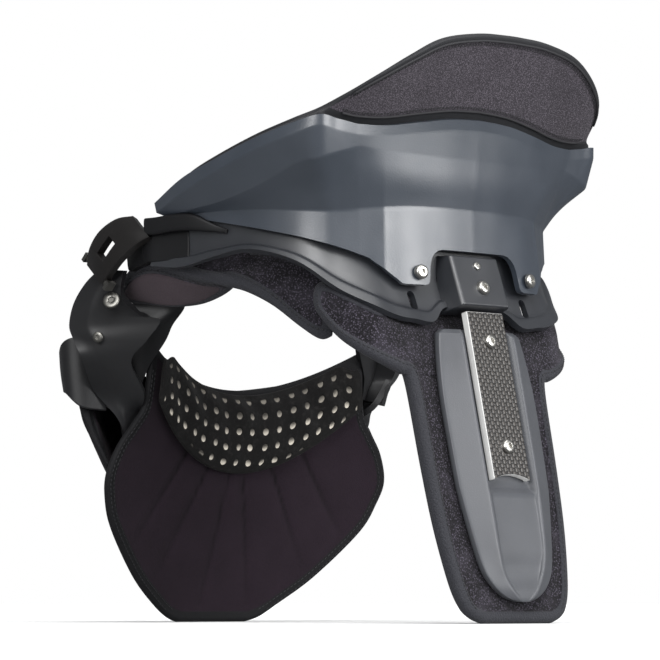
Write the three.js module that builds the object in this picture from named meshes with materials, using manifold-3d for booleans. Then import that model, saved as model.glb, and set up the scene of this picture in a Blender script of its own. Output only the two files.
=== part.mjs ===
// Karting neck brace in millimetres, +Z up. The wearer faces -Y and the wearer's left is +X.
// The rear half is a cupped shell on a U-shaped base with a strut down the back; the front half is a
// plastic band and side panels with a chest flap. A latch joins them on the left, a pin on the right.
import * as THREE from "three";
import { mergeVertices } from "three/addons/utils/BufferGeometryUtils.js";
import Module from "manifold-3d";

const wasm = await Module();
wasm.setup();

// Driving dimensions
const STANCE_MIDDLE_Y = 9.4; // middle of the brace front to back, seen from the neck's own axis
const SHELL_WALL = 3;
const BASE_WALL = 3.6;
const FRONT_WALL = 3.4;
const PAD_SHELL_GAP = 0.9;
const SPAN_STEPS = 3; // columns between two stations of a table

const STRUT_LEAN = THREE.MathUtils.degToRad(12.6);
const STRUT_Y = 117.5; // where the strut plate's edges stand at STRUT_Z
const STRUT_Z = 115;

const TAB_X = 40; // shell tabs on either side of the boss
const TAB_HALF_WIDTH = 8.5;
const TAB_BOTTOM_Z = 172;
const ARCH_HALF_WIDTH = 29;
const ARCH_TOP_Z = 191;

const SLOT = { x: 41.5, y: 103.6, z: 164, width: 3.6, height: 10.5, tilt: 0.5 };
const BOSS = { halfWidth: 16.6, topY: 106.4, topZ: 188.6, bottomY: 115.7, bottomZ: 163 };
const STRIP = { halfWidth: 13.5, thickness: 4.2, face: 6.4, topZ: 159.6, bottomZ: 73, notch: 3 };

const BUTTON_HEAD = { radius: 3.8, height: 2.2, socket: 1.45, depth: 1.2, sides: 20 };
const FLAT_HEAD = { radius: 4.6, height: 1, socket: 1.6, depth: 0.7, sides: 20 };
const SMALL_HEAD = { radius: 2.9, height: 1, socket: 1.1, depth: 0.6, sides: 16 };

const CLIP = {
  width: 20,
  pinned: 14,
  thickness: 5,
  slotWidth: 6.5,
  slotLength: 12,
  knuckle: 5,
  pin: 1.8,
  play: 0.4,
};
const HINGE_PIN = { x: -115.5, y: -28, z: 203.5, reach: 10.7, ear: 2.6 };

// Rear shell, back centre to left tip: the band's top, the mid line, the rim's lower and upper edge
const SHELL = [
  { band: [0, 105.5, 212.5], mid: [0, 109.3, 238], low: [0, 111, 253.5], rim: [0, 111.5, 258.7] },
  { band: [20, 104.4, 212.5], mid: [21.5, 108.6, 238], low: [21, 110.6, 252.5], rim: [21, 111, 257.6] },
  { band: [40, 101, 212], mid: [43, 106.2, 238.5], low: [42, 108.2, 249.5], rim: [42, 108.5, 254.6] },
  { band: [56, 96, 211], mid: [62, 103, 239.5], low: [62, 104.3, 246.5], rim: [62, 104.5, 251.6] },
  { band: [68, 90, 210], mid: [77, 100, 240.5], low: [79, 101, 246], rim: [79, 101.2, 251.3] },
  { band: [75, 85, 209], mid: [88, 98.3, 237], low: [92, 100, 247.5], rim: [92, 100.2, 253] },
  { band: [82, 79.6, 209], mid: [100, 94.5, 233], low: [103, 97.5, 249], rim: [104, 98.5, 254.5] },
  { band: [90, 69, 209.5], mid: [105, 84, 231], low: [111, 84, 244.5], rim: [112, 84, 250.3] },
  { band: [97, 52, 210.5], mid: [108, 60, 222], low: [116.5, 62, 237.5], rim: [117.5, 62, 244] },
  { band: [102, 32, 211], mid: [109.5, 34, 215.5], low: [118.5, 34, 228], rim: [120, 34, 235.2] },
  { band: [105.5, 12, 210.8], mid: [110.5, 12, 212.6], low: [117.5, 10, 220], rim: [119, 10, 228] },
  { band: [108, -6, 209.4], mid: [110, -9, 210.2], low: [112.2, -14, 212.3], rim: [113.5, -15.5, 217.5] },
];
// Height of the shell's lower edge and how far it stands out there, by the same stations
const SHELL_FOOT = [
  { z: ARCH_TOP_Z, out: 2 },
  { z: ARCH_TOP_Z, out: 3.2 },
  { z: 188, out: 6.6 },
  { z: 183, out: 4.4 },
  { z: 187, out: 2.4 },
  { z: 190, out: 2 },
  { z: 192.5, out: 1.6 },
  { z: 196, out: 1.2 },
  { z: 200, out: 0.8 },
  { z: 204, out: 0.6 },
  { z: 207.4, out: 0.4 },
  { z: 208.6, out: 0.2 },
];
// Helmet pad, by the shell's stations: its crest, how thick it is there, how far it hangs out behind
// the crest, and how thick its foot is
const HELMET_PAD = [
  { crest: [0, 134, 299], top: 10, hang: 4.5, foot: 14 },
  { crest: [22, 133.5, 298], top: 10, hang: 4.5, foot: 14 },
  { crest: [46, 131, 293.5], top: 10, hang: 4.5, foot: 14 },
  { crest: [64, 126.5, 284], top: 10, hang: 4.5, foot: 13.5 },
  { crest: [78, 118.5, 274], top: 10, hang: 4, foot: 13 },
  { crest: [88, 106.5, 265], top: 10, hang: 2.5, foot: 12.5 },
  { crest: [96, 92.5, 257.5], top: 9, hang: 0.5, foot: 12 },
  { crest: [105, 81, 252.3], top: 9, hang: 0, foot: 11.5 },
  { crest: [111, 60, 245.8], top: 9, hang: 0, foot: 11 },
  { crest: [113.5, 33, 237], top: 9, hang: 0, foot: 10 },
  { crest: [112.5, 11, 229.5], top: 8, hang: 0, foot: 8 },
  { crest: [108, -9, 220], top: 6, hang: 0, foot: 6 },
];
// Rear base, back centre to left arm end: the outer lip's lower edge, the wall's top edge and how far
// the wall goes on straight up behind the shell
const BASE = [
  { lip: [0, 106, 162], top: [0, 98, 177], rise: 18 },
  { lip: [21, 106.2, 161.5], top: [20, 98, 177], rise: 18 },
  { lip: [33, 110, 153.5], top: [35, 97.8, 177], rise: 18 },
  { lip: [46, 109.3, 154.2], top: [46, 96.2, 178.5], rise: 12 },
  { lip: [56, 107.5, 155.4], top: [54.3, 93.5, 182], rise: 3 },
  { lip: [68, 103, 160], top: [63, 88.7, 186], rise: 1 },
  { lip: [80, 89, 168.6], top: [74, 79.8, 191.3], rise: 1 },
  { lip: [92.5, 70, 183.5], top: [86, 68, 196.8], rise: 1 },
  { lip: [101, 44, 190.5], top: [94.5, 46, 201.2], rise: 1 },
  { lip: [104.5, 20, 187.5], top: [101, 22, 204.6], rise: 1 },
  { lip: [108, 0, 183.5], top: [106, 2, 206], rise: 1 },
  { lip: [112, -19, 185], top: [110, -13, 207], rise: 1 },
];
// Strut plate, top to tip: half width, where its ridges run and how high they and the channel stand
const STRUT_PLATE = [
  { z: 150, half: 26, ridge: 18, high: 3, floor: 0.6 },
  { z: 146, half: 30.3, ridge: 20, high: 6, floor: 1.6 },
  { z: 115, half: 34, ridge: 20, high: 6.2, floor: 1.6 },
  { z: 69, half: 33.2, ridge: 19.5, high: 6.2, floor: 1.6 },
  { z: 66, half: 32.8, ridge: 19.4, high: 6.2, floor: 5 },
  { z: 38, half: 28, ridge: 18, high: 5, floor: 4.2 },
  { z: 24, half: 24, ridge: 15, high: 3, floor: 1.8 },
  { z: 15, half: 15.6, ridge: 9, high: 2.4, floor: 2.2 },
  { z: 11, half: 5, ridge: 3, high: 1.4, floor: 1.4 },
];
// Back pad, bottom to top: height, half width along the cloth, how much of the lobes' lift applies, how
// far its middle goes on up behind the base and how far it is tucked in there
const BACK_PAD = [
  { z: 0, half: 23.5, lift: 0, rise: 0, tuck: 0 },
  { z: 3, half: 31, lift: 0, rise: 0, tuck: 0 },
  { z: 8, half: 36, lift: 0, rise: 0, tuck: 0 },
  { z: 20, half: 40.5, lift: 0, rise: 0, tuck: 0 },
  { z: 48, half: 45, lift: 0, rise: 0, tuck: 0 },
  { z: 80, half: 47, lift: 0, rise: 0, tuck: 0 },
  { z: 122, half: 48.5, lift: 0, rise: 0, tuck: 0 },
  { z: 126, half: 53, lift: 0, rise: 0, tuck: 0 },
  { z: 129.5, half: 65, lift: 0.15, rise: 0, tuck: 0 },
  { z: 133, half: 77, lift: 0.3, rise: 0, tuck: 0 },
  { z: 137, half: 88, lift: 0.45, rise: 0, tuck: 0 },
  { z: 142, half: 97, lift: 0.65, rise: 0, tuck: 0 },
  { z: 146, half: 101, lift: 0.85, rise: 0.6, tuck: 0 },
  { z: 149, half: 100, lift: 1, rise: 1.5, tuck: 1 },
  { z: 151, half: 96, lift: 1.02, rise: 5, tuck: 4.5 },
  { z: 152, half: 88, lift: 1.02, rise: 13, tuck: 10.5 },
];
const BACK_PAD_FACE = -4; // the pad's outer and inner faces, measured back from the plate's edges
const BACK_PAD_INNER = -13;
const LOBE = { start: 57, radius: 26, turn: THREE.MathUtils.degToRad(80), lift: 17, liftFrom: 46 };
// Left shoulder pad, front to back: its bound outer edge and the vector across to its inner edge
const SHOULDER_PAD = [
  { edge: [96, -53, 178], across: [-6, -5, -9] },
  { edge: [99.5, -45, 184.5], across: [-12, -8, -16] },
  { edge: [102, -33, 188], across: [-16, -9, -21] },
  { edge: [103, -22, 188.2], across: [-18, -7, -22.5] },
  { edge: [101, -8, 185], across: [-22, -3, -17] },
  { edge: [97.5, 4, 180], across: [-25, -1, -4] },
  { edge: [93.5, 15, 175.5], across: [-20, -4, 12] },
  { edge: [88, 28, 171], across: [-12, -6, 22] },
  { edge: [81, 41, 163], across: [-7, -6, 30] },
  { edge: [74, 54, 151.6], across: [-4, -6, 37] },
  { edge: [69, 63.5, 145], across: [-4, -5, 38] },
  { edge: [65.5, 69.5, 146.5], across: [-3, -4, 34] },
];
const SHOULDER_PAD_THICKNESS = 8;
// Its section: shares across and through half the thickness
const PAD_SECTION = [[0, 0.5], [0.2, 1], [0.8, 1], [1, 0.5], [1, -0.5], [0.8, -1], [0.2, -1], [0, -0.5]];
// Chest flap, bottom to top: centre height, rise at the sides, half width, and Y in the middle and there
const CHEST_FLAP = [
  { z: 0, rise: 0, half: 24, middle: -93.5, side: -92 },
  { z: 3, rise: 0, half: 33, middle: -93, side: -90 },
  { z: 10, rise: 0, half: 44.5, middle: -91.5, side: -87.5 },
  { z: 25, rise: 0, half: 65.5, middle: -88, side: -80 },
  { z: 48, rise: 2, half: 90.5, middle: -82.5, side: -69 },
  { z: 62, rise: 4, half: 99, middle: -79.5, side: -64 },
  { z: 72, rise: 7, half: 101.5, middle: -77.5, side: -60 },
  { z: 82, rise: 12, half: 96, middle: -76, side: -57.5 },
  { z: 90, rise: 16, half: 87, middle: -75.5, side: -56 },
  { z: 100, rise: 18, half: 80, middle: -75, side: -55 },
  { z: 124, rise: 22, half: 75.5, middle: -74, side: -53 },
];
const FLAP_THICKNESS = 5;
// Neck collar on the flap's upper part, bottom to top: same columns, with its thickness
const NECK_COLLAR = [
  { z: 81, rise: 26, half: 66, middle: -76, side: -55, thick: 2.5 },
  { z: 88, rise: 26, half: 69, middle: -75.6, side: -54.6, thick: 6 },
  { z: 102, rise: 24, half: 71, middle: -75, side: -54, thick: 8 },
  { z: 116, rise: 22.5, half: 71.5, middle: -74.4, side: -53.5, thick: 7 },
  { z: 124, rise: 22, half: 72, middle: -74, side: -53, thick: 3 },
];
// Left side panel, clip end to flap end: outer edge, crease and inner edge of its outer face
const SIDE_PANEL = [
  { outer: [115, -57, 185], crease: [113, -49, 185], inner: [111, -41, 184] },
  { outer: [118, -64, 178], crease: [116, -53, 177], inner: [110, -44, 171] },
  { outer: [120.5, -70, 168], crease: [117.5, -57, 167], inner: [98, -43, 161.5] },
  { outer: [121, -73, 157], crease: [117, -60, 156], inner: [89, -37, 159] },
  { outer: [120, -71.5, 150], crease: [115, -58, 148], inner: [94, -42, 148] },
  { outer: [118, -66.5, 139], crease: [110, -58, 137], inner: [98, -49.5, 137] },
  { outer: [103, -74, 123], crease: [97.5, -64, 121], inner: [88.5, -50, 120] },
  { outer: [94, -66, 109], crease: [92.5, -62, 110], inner: [91, -58, 111] },
];
// Left wing between the flap's corner and the shoulder pad, bottom to top: outer edge and neck edge
const NECK_WING = [
  { outer: [86, -62, 124], neck: [83, -59, 124] },
  { outer: [87.5, -60, 130], neck: [82, -57, 130] },
  { outer: [90.5, -58, 137], neck: [80, -54.5, 137] },
  { outer: [89.2, -53.2, 148], neck: [72.7, -50.7, 149.5] },
  { outer: [84.7, -50.7, 158], neck: [70, -48, 158] },
  { outer: [77, -52.8, 166], neck: [66, -44, 166] },
  { outer: [74, -50, 172], neck: [65, -42.5, 172] },
];
const WING_THICKNESS = 4;
// Front band and the padded skirt below it, left end to middle
const FRONT_BAND = [
  { at: [114.5, -73], low: 128, high: 151 },
  { at: [112, -87], low: 130, high: 148 },
  { at: [98, -102], low: 125, high: 140 },
  { at: [72, -113], low: 119, high: 134 },
  { at: [38, -119], low: 113, high: 129.5 },
  { at: [0, -121], low: 110, high: 128 },
];
const FRONT_SKIRT = [
  { top: [105, -82, 112], bulge: [101.5, -84, 104], hem: [97, -70.5, 84], depth: 6 },
  { top: [104, -88, 126], bulge: [100.5, -87.5, 112], hem: [94, -74, 80], depth: 8 },
  { top: [92.5, -99, 123], bulge: [90.5, -98.5, 109], hem: [84, -82, 75], depth: 10 },
  { top: [71, -114, 118], bulge: [70, -114.5, 102], hem: [64, -93, 67], depth: 11 },
  { top: [38, -120, 111], bulge: [37.5, -121, 96], hem: [34, -99, 60], depth: 12 },
  { top: [0, -122, 108], bulge: [0, -123, 93], hem: [0, -101, 58], depth: 12 },
];
// Padded deck between the front band and the chest flap, middle to left end: its upper edges
const FRONT_DECK = [
  { front: [0, -116.6, 122.5], rear: [0, -80.6, 117] },
  { front: [38, -114.6, 123.5], rear: [30, -78, 119] },
  { front: [69.5, -108.6, 127], rear: [56, -70.8, 124.5] },
  { front: [93, -97.8, 131], rear: [72, -65, 131] },
  { front: [102, -88.5, 134], rear: [81, -64, 135] },
];
const DECK_THICKNESS = 5;
// Latch lever, hook end to pivot end, along the middle of its outer face
const CLIP_PATH = [
  [116, -22.5, 206],
  [119, -31, 203.5],
  [121.5, -41, 197],
  [122, -49, 189],
  [120.7, -53.9, 182.4],
];
const LATCH_PIVOT = [118.4, -52.8, 183.8];
const LATCH_EAR = { thick: 2.2, long: 5, deep: 5.4, gap: 0.5 };
const LATCH_AXIS = new THREE.Vector3(0, 0.727, -0.687).normalize();

// Screws: where each head sits and the way it faces
const SCREWS = [
  { name: "tab_screw_left", head: BUTTON_HEAD, at: [TAB_X + 0.6, 107.9, 178.4], faces: [0.24, 1, 0.1] },
  { name: "tab_screw_right", head: BUTTON_HEAD, at: [-TAB_X - 0.6, 107.9, 178.4], faces: [-0.24, 1, 0.1] },
  { name: "boss_screw", head: BUTTON_HEAD, at: [0, 112.75, 172.2], faces: [0, 0.941, 0.337] },
];
const PANEL_SCREWS = [
  { name: "panel_screw", head: FLAT_HEAD, at: [113.75, -47.5, 168.7], faces: [0.78, 0.5, 0.33] },
  { name: "panel_rivet", head: SMALL_HEAD, at: [115.9, -55.7, 149.6], faces: [0.86, 0.46, -0.1] },
];
const STRIP_SCREWS = [
  { name: "strip_screw_upper", z: 144.3 },
  { name: "strip_screw_lower", z: 90 },
];
const BOSS_RIVET = { radius: 2.2, height: 0.7, at: [0, 108.62, 183.8], faces: [0, 0.941, 0.337] };

// Finishes
const FINISH = {
  shell: new THREE.MeshStandardMaterial({ color: 0x3f444b, roughness: 0.42, metalness: 0 }),
  base: new THREE.MeshStandardMaterial({ color: 0x4a4c51, roughness: 0.45, metalness: 0 }),
  front: new THREE.MeshStandardMaterial({ color: 0x35363a, roughness: 0.6, metalness: 0 }),
  plate: new THREE.MeshStandardMaterial({ color: 0x6a6c72, roughness: 0.5, metalness: 0 }),
  weave: new THREE.MeshStandardMaterial({ color: 0x55504c, roughness: 0.3, metalness: 0.1 }),
  loop: new THREE.MeshStandardMaterial({ color: 0x2e2a32, roughness: 0.95, metalness: 0 }),
  cloth: new THREE.MeshStandardMaterial({ color: 0x2b2428, roughness: 0.9, metalness: 0 }),
  mesh: new THREE.MeshStandardMaterial({ color: 0x1d1b1c, roughness: 0.9, metalness: 0 }),
  steel: new THREE.MeshStandardMaterial({ color: 0xd8d8d6, roughness: 0.2, metalness: 1 }),
};

const vec = (p) => new THREE.Vector3(p[0], p[1], p[2]);
const mirrored = (p) => new THREE.Vector3(-p.x, p.y, p.z);
const tanLean = Math.tan(STRUT_LEAN);

// A smooth curve through points, with steps columns in each span
function smooth(points, steps = SPAN_STEPS) {
  const curve = new THREE.CatmullRomCurve3(points, false, "catmullrom", 0.5);
  return curve.getPoints((points.length - 1) * steps);
}

// A table column of plain numbers, carried through the same spans as smooth()
function smoothNumbers(values, steps = SPAN_STEPS) {
  return smooth(values.map((v) => new THREE.Vector3(v, 0, 0)), steps).map((p) => p.x);
}

// One half's columns, from the middle outwards, made whole by mirroring in X
function whole(columns) {
  const other = columns.slice(1).map((column) => column.map(mirrored));
  return [...other.reverse(), ...columns];
}

// Columns moved along the surface normal; the sign of distance picks the side
function offset(columns, distance) {
  const last = columns.length - 1;
  return columns.map((column, c) =>
    column.map((p, r) => {
      const before = columns[Math.max(c - 1, 0)][r];
      const after = columns[Math.min(c + 1, last)][r];
      const below = column[Math.max(r - 1, 0)];
      const above = column[Math.min(r + 1, column.length - 1)];
      const along = after.clone().sub(before);
      const normal = along.cross(above.clone().sub(below)).normalize();
      return p.clone().addScaledVector(normal, distance);
    }),
  );
}

function signedVolume(position, index) {
  let sum = 0;
  const corner = (i) => new THREE.Vector3().fromArray(position, 3 * i);
  for (let i = 0; i < index.length; i += 3) {
    sum += corner(index[i]).dot(corner(index[i + 1]).cross(corner(index[i + 2])));
  }
  return sum / 6;
}

// Triangles that close a ring, worked out in the plane that shows it largest
function cap(ring) {
  const normal = new THREE.Vector3();
  ring.forEach((p, i) => normal.add(p.clone().cross(ring[(i + 1) % ring.length])));
  const size = normal.clone().set(Math.abs(normal.x), Math.abs(normal.y), Math.abs(normal.z));
  let flat = (p) => new THREE.Vector2(p.x, p.y);
  if (size.x >= size.y && size.x >= size.z) flat = (p) => new THREE.Vector2(p.y, p.z);
  else if (size.y >= size.z) flat = (p) => new THREE.Vector2(p.z, p.x);
  return THREE.ShapeUtils.triangulateShape(ring.map(flat), []);
}

// A closed solid through rings of equal length, faces turned outwards
function loft(rings) {
  const count = rings[0].length;
  const position = rings.flat().flatMap((p) => p.toArray());
  const index = [];
  for (let r = 0; r < rings.length - 1; r++) {
    for (let i = 0; i < count; i++) {
      const a = r * count + i;
      const b = r * count + ((i + 1) % count);
      index.push(a, b, b + count, a, b + count, a + count);
    }
  }
  for (const [end, keepsOrder] of [[0, false], [rings.length - 1, true]]) {
    const start = end * count;
    for (const corners of cap(rings[end])) {
      const [a, b, c] = corners.map((i) => start + i);
      if (followsRing(corners, count) === keepsOrder) index.push(a, b, c);
      else index.push(a, c, b);
    }
  }
  if (signedVolume(position, index) < 0) {
    for (let i = 0; i < index.length; i += 3) {
      [index[i + 1], index[i + 2]] = [index[i + 2], index[i + 1]];
    }
  }
  const geometry = new THREE.BufferGeometry();
  geometry.setAttribute("position", new THREE.Float32BufferAttribute(position, 3));
  geometry.setIndex(index);
  return geometry;
}

// Whether a triangle's corners come in the order of the ring they were taken from
function followsRing([a, b, c], count) {
  const step = (i, j) => (j - i + count) % count;
  return step(a, b) + step(b, c) + step(c, a) === count;
}

// A wall between outer columns and the same columns moved inwards
function wall(columns, thickness) {
  const inner = offset(columns, thickness);
  return loft(columns.map((column, c) => [...column, ...inner[c].slice().reverse()]));
}

// A solid slab: rows of points on one face and the matching rows on the other
function slab(faceRows, backRows) {
  return loft(faceRows.map((row, r) => [...row, ...backRows[r].slice().reverse()]));
}

function toSolid(geometry) {
  const plain = new THREE.BufferGeometry();
  plain.setAttribute("position", geometry.getAttribute("position").clone());
  plain.setIndex(geometry.index);
  const merged = mergeVertices(plain, 1e-4);
  const vertProperties = new Float32Array(merged.getAttribute("position").array);
  const triVerts = new Uint32Array(merged.index.array);
  return new wasm.Manifold(new wasm.Mesh({ numProp: 3, vertProperties, triVerts }));
}

function fromSolid(solid) {
  const made = solid.getMesh();
  const geometry = new THREE.BufferGeometry();
  geometry.setAttribute("position", new THREE.BufferAttribute(made.vertProperties, 3));
  geometry.setIndex(new THREE.BufferAttribute(made.triVerts, 1));
  return geometry;
}

const join = (a, b) => fromSolid(toSolid(a).add(toSolid(b)));
const cut = (a, b) => fromSolid(toSolid(a).subtract(toSolid(b)));

// A geometry made about +Z, turned to face a direction and moved into place
function placed(geometry, at, faces) {
  const turn = new THREE.Quaternion();
  turn.setFromUnitVectors(new THREE.Vector3(0, 0, 1), vec(faces).normalize());
  return geometry.applyQuaternion(turn).translate(at[0], at[1], at[2]);
}

// The height of the shell's lower edge at a place across the back: arch, tabs and the slope beyond
function lowerEdge(x, z) {
  const away = Math.abs(x);
  const inner = TAB_X - TAB_HALF_WIDTH;
  const outer = TAB_X + TAB_HALF_WIDTH;
  if (away < ARCH_HALF_WIDTH - 6) return ARCH_TOP_Z;
  if (away < inner - 1) {
    const t = (away - ARCH_HALF_WIDTH + 6) / (inner - 1 - ARCH_HALF_WIDTH + 6);
    return ARCH_TOP_Z - 6 * t * t;
  }
  if (away <= outer) return away < inner ? 184 : TAB_BOTTOM_Z;
  if (away < 62) return THREE.MathUtils.lerp(TAB_BOTTOM_Z + 2, 184, (away - outer) / (62 - outer));
  return z;
}

// Shell columns from the lower edge to the rim, by every X that the tabs and the arch need
function shellColumns() {
  const rows = ["band", "mid", "low", "rim"].map((key) => smooth(SHELL.map((s) => vec(s[key]))));
  const footZ = smoothNumbers(SHELL_FOOT.map((s) => s.z));
  const footOut = smoothNumbers(SHELL_FOOT.map((s) => s.out));
  const stations = [...rows[0].keys()].map((i) => rows.map((row) => row[i]));
  const tabEdges = [24, 27.5, 30.4, 31.6, 36, 44, 48.4, 49.6];
  const edged = tabEdges.map((x) => stationAt(stations, footZ, footOut, x));
  const plain = stations.map((points, i) => ({ points, z: footZ[i], out: footOut[i] }));
  const clear = plain.filter((s) => tabEdges.every((x) => Math.abs(s.points[0].x - x) > 1.2));
  const all = [...clear, ...edged].sort((a, b) => a.points[0].x - b.points[0].x);
  return all.map(({ points, z, out }) => {
    const [band, mid] = points;
    const outward = band.clone().sub(new THREE.Vector3(0, 20, band.z)).normalize();
    const foot = band.clone().addScaledVector(outward, out);
    foot.z = lowerEdge(band.x, z);
    const waist = band.clone().lerp(foot, 0.06);
    const bell = band.clone().lerp(mid, 0.5);
    bell.addScaledVector(outward, 0.12 * mid.distanceTo(band));
    return [foot, waist, band, bell, mid, points[2], points[3]];
  });
}

function stationAt(stations, footZ, footOut, x) {
  const i = stations.findIndex((s) => s[0].x > x);
  const t = (x - stations[i - 1][0].x) / (stations[i][0].x - stations[i - 1][0].x);
  const points = stations[i].map((p, r) => stations[i - 1][r].clone().lerp(p, t));
  const between = (list) => THREE.MathUtils.lerp(list[i - 1], list[i], t);
  return { points, z: between(footZ), out: between(footOut) };
}

function rearShell() {
  return wall(whole(shellColumns()), SHELL_WALL);
}

// The pad lines the shell's cup and rises behind it into a crest that leans back
function helmetPad() {
  const crest = smooth(HELMET_PAD.map((s) => vec(s.crest)));
  const top = smoothNumbers(HELMET_PAD.map((s) => s.top));
  const hang = smoothNumbers(HELMET_PAD.map((s) => s.hang));
  const foot = smoothNumbers(HELMET_PAD.map((s) => s.foot));
  const rows = ["mid", "low", "rim"].map((key) => smooth(SHELL.map((s) => vec(s[key]))));
  const cup = whole(crest.map((_, i) => rows.map((row) => row[i])));
  const lining = offset(cup, SHELL_WALL + PAD_SHELL_GAP).slice(crest.length - 1);
  const half = crest.map((peak, i) => {
    const before = crest[Math.max(i - 1, 0)];
    const after = crest[Math.min(i + 1, crest.length - 1)];
    const along = i === 0 ? new THREE.Vector3(1, 0, 0) : after.clone().sub(before).setZ(0).normalize();
    const inward = new THREE.Vector3(along.y, -along.x, 0);
    const [low, , lip] = lining[i];
    low.z += 3;
    lip.z = Math.min(lip.z + 0.8, peak.z - 3.6);
    const edge = peak.clone().addScaledVector(inward, -hang[i]);
    edge.z -= 2.4;
    const brow = peak.clone().addScaledVector(inward, top[i] - hang[i]);
    brow.z -= 2.4;
    const belly = lip.clone().addScaledVector(inward, foot[i]);
    const heel = low.clone().addScaledVector(inward, foot[i]);
    heel.z -= 2;
    return [low, lip, edge, peak, brow, belly, heel];
  });
  return loft(whole(half));
}

// Base wall with its outer lip, the boss in the middle and the two adjusting slots
function rearBase() {
  const lip = smooth(BASE.map((s) => vec(s.lip)));
  const top = smooth(BASE.map((s) => vec(s.top)));
  const rise = smoothNumbers(BASE.map((s) => s.rise));
  const half = lip.map((low, i) => {
    const high = top[i];
    const shelf = low.clone().lerp(high, 0.16);
    const lipTop = shelf.clone().lerp(low, 0.15);
    const inward = new THREE.Vector3(0, 20, low.z).sub(low).normalize();
    shelf.addScaledVector(inward, 1.6);
    const crown = high.clone();
    crown.z += rise[i];
    return [low, lipTop, shelf, shelf.clone().lerp(high, 0.5), high, crown];
  });
  const u = wall(whole(half), BASE_WALL);
  const slots = [1, -1].map((side) => slotCutter(side));
  return slots.reduce((body, slot) => cut(body, slot), join(u, boss()));
}

function boss() {
  const { halfWidth: w, topY, topZ, bottomY, bottomZ } = BOSS;
  const face = [[-w, topY, topZ], [w, topY, topZ], [w, bottomY, bottomZ], [-w, bottomY, bottomZ]];
  const edge = face.map(([x, y, z]) => [x * 1.06, y - 1.2, z - (z === bottomZ ? 0.9 : 0)]);
  const root = [[-25, 96.6, topZ], [25, 96.6, topZ], [28, 101.3, 156], [-28, 101.3, 156]];
  return loft([face, edge, root].map((ring) => ring.map(vec)));
}

function slotCutter(side) {
  const shape = new THREE.Shape();
  const r = SLOT.width / 2;
  const reach = SLOT.height / 2 - r;
  shape.absarc(0, reach, r, 0, Math.PI, false);
  shape.absarc(0, -reach, r, Math.PI, 2 * Math.PI, false);
  const cutter = new THREE.ExtrudeGeometry(shape, { depth: 24, bevelEnabled: false, curveSegments: 4 });
  cutter.translate(0, 0, -12).rotateX(-Math.PI / 2 + SLOT.tilt);
  const rod = mergeVertices(bare(cutter), 1e-4);
  return rod.translate(side * SLOT.x, SLOT.y - 1, SLOT.z);
}

// Only the positions of a geometry, so that its corners can be merged
function bare(geometry) {
  const plain = new THREE.BufferGeometry();
  plain.setAttribute("position", geometry.getAttribute("position"));
  if (geometry.index) plain.setIndex(geometry.index);
  return plain;
}

// A point of the strut: across, height, and how far it stands behind the plate's edges
function onStrut(x, z, out) {
  return new THREE.Vector3(x, STRUT_Y + (STRUT_Z - z) * tanLean + out, z);
}

function strutPlate() {
  const rings = STRUT_PLATE.map(({ z, half, ridge, high, floor }) => {
    const bed = Math.min(ridge - 2.4, STRIP.halfWidth + 2.2);
    const section = [
      [half, -3.4],
      [half, 0],
      [ridge, high],
      [ridge - 1.8, high],
      [bed, floor],
    ];
    const left = section.map(([x, out]) => onStrut(x, z, out));
    const right = section.map(([x, out]) => onStrut(-x, z, out));
    return [...left, ...right.reverse()];
  });
  return loft(rings);
}

function strutStrip() {
  const { halfWidth, thickness, face, topZ, bottomZ, notch } = STRIP;
  const across = [-1, -0.5, 0, 0.5, 1].map((t) => t * halfWidth);
  const end = (x) => bottomZ + notch * (1 - (x / halfWidth) ** 2);
  const row = (out, height) => across.map((x) => onStrut(x, height(x), out));
  const heights = [() => topZ, (x) => (topZ + end(x)) / 2, end];
  return slab(
    heights.map((h) => row(face, h)),
    heights.map((h) => row(face - thickness, h)),
  );
}

// The cloth runs flat across the strut, then its lobes turn forward round the neck
function onBackPad(along, z, out) {
  const away = Math.abs(along);
  const side = Math.sign(along) || 1;
  const past = Math.max(away - LOBE.start, 0);
  const angle = Math.min(past / LOBE.radius, LOBE.turn);
  const straight = past - angle * LOBE.radius;
  const r = LOBE.radius + out - BACK_PAD_FACE;
  const x = Math.min(away, LOBE.start) + r * Math.sin(angle) + straight * Math.cos(angle);
  const back = out - r * (1 - Math.cos(angle)) - straight * Math.sin(angle);
  return onStrut(side * x, z, back);
}

function backPad() {
  const across = [-1, -0.9, -0.78, -0.66, -0.52, -0.35, 0, 0.35, 0.52, 0.66, 0.78, 0.9, 1];
  const height = (row, along) => {
    const far = Math.max(Math.abs(along) - LOBE.liftFrom, 0) / (100 - LOBE.liftFrom);
    const middle = THREE.MathUtils.clamp(1 - (Math.abs(along) - 40) / 25, 0, 1);
    return row.z + row.lift * LOBE.lift * Math.min(far, 1) + row.rise * middle;
  };
  const rows = (out) =>
    BACK_PAD.map((row) =>
      across.map((t) => onBackPad(t * row.half, height(row, t * row.half), out - row.tuck)),
    );
  return slab(rows(BACK_PAD_FACE), rows(BACK_PAD_INNER));
}

function shoulderPad(side) {
  const edges = smooth(SHOULDER_PAD.map((s) => vec(s.edge)), 2);
  const across = smooth(SHOULDER_PAD.map((s) => vec(s.across)), 2);
  const rings = edges.map((edge, i) => {
    const along = edges[Math.min(i + 1, edges.length - 1)].clone().sub(edges[Math.max(i - 1, 0)]);
    const normal = along.cross(across[i]).normalize();
    const ring = PAD_SECTION.map(([t, n]) => {
      const p = edge.clone().addScaledVector(across[i], t);
      return p.addScaledVector(normal, (n * SHOULDER_PAD_THICKNESS) / 2);
    });
    return side > 0 ? ring : ring.map(mirrored);
  });
  return loft(rings);
}

// A point of the chest cloth: across from -1 to 1 on a table row, and how far it stands forward
function onChest(row, across, forward) {
  const bow = across * across;
  const y = THREE.MathUtils.lerp(row.middle, row.side, bow) - forward;
  return new THREE.Vector3(row.half * across, y, row.z + row.rise * bow);
}

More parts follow.
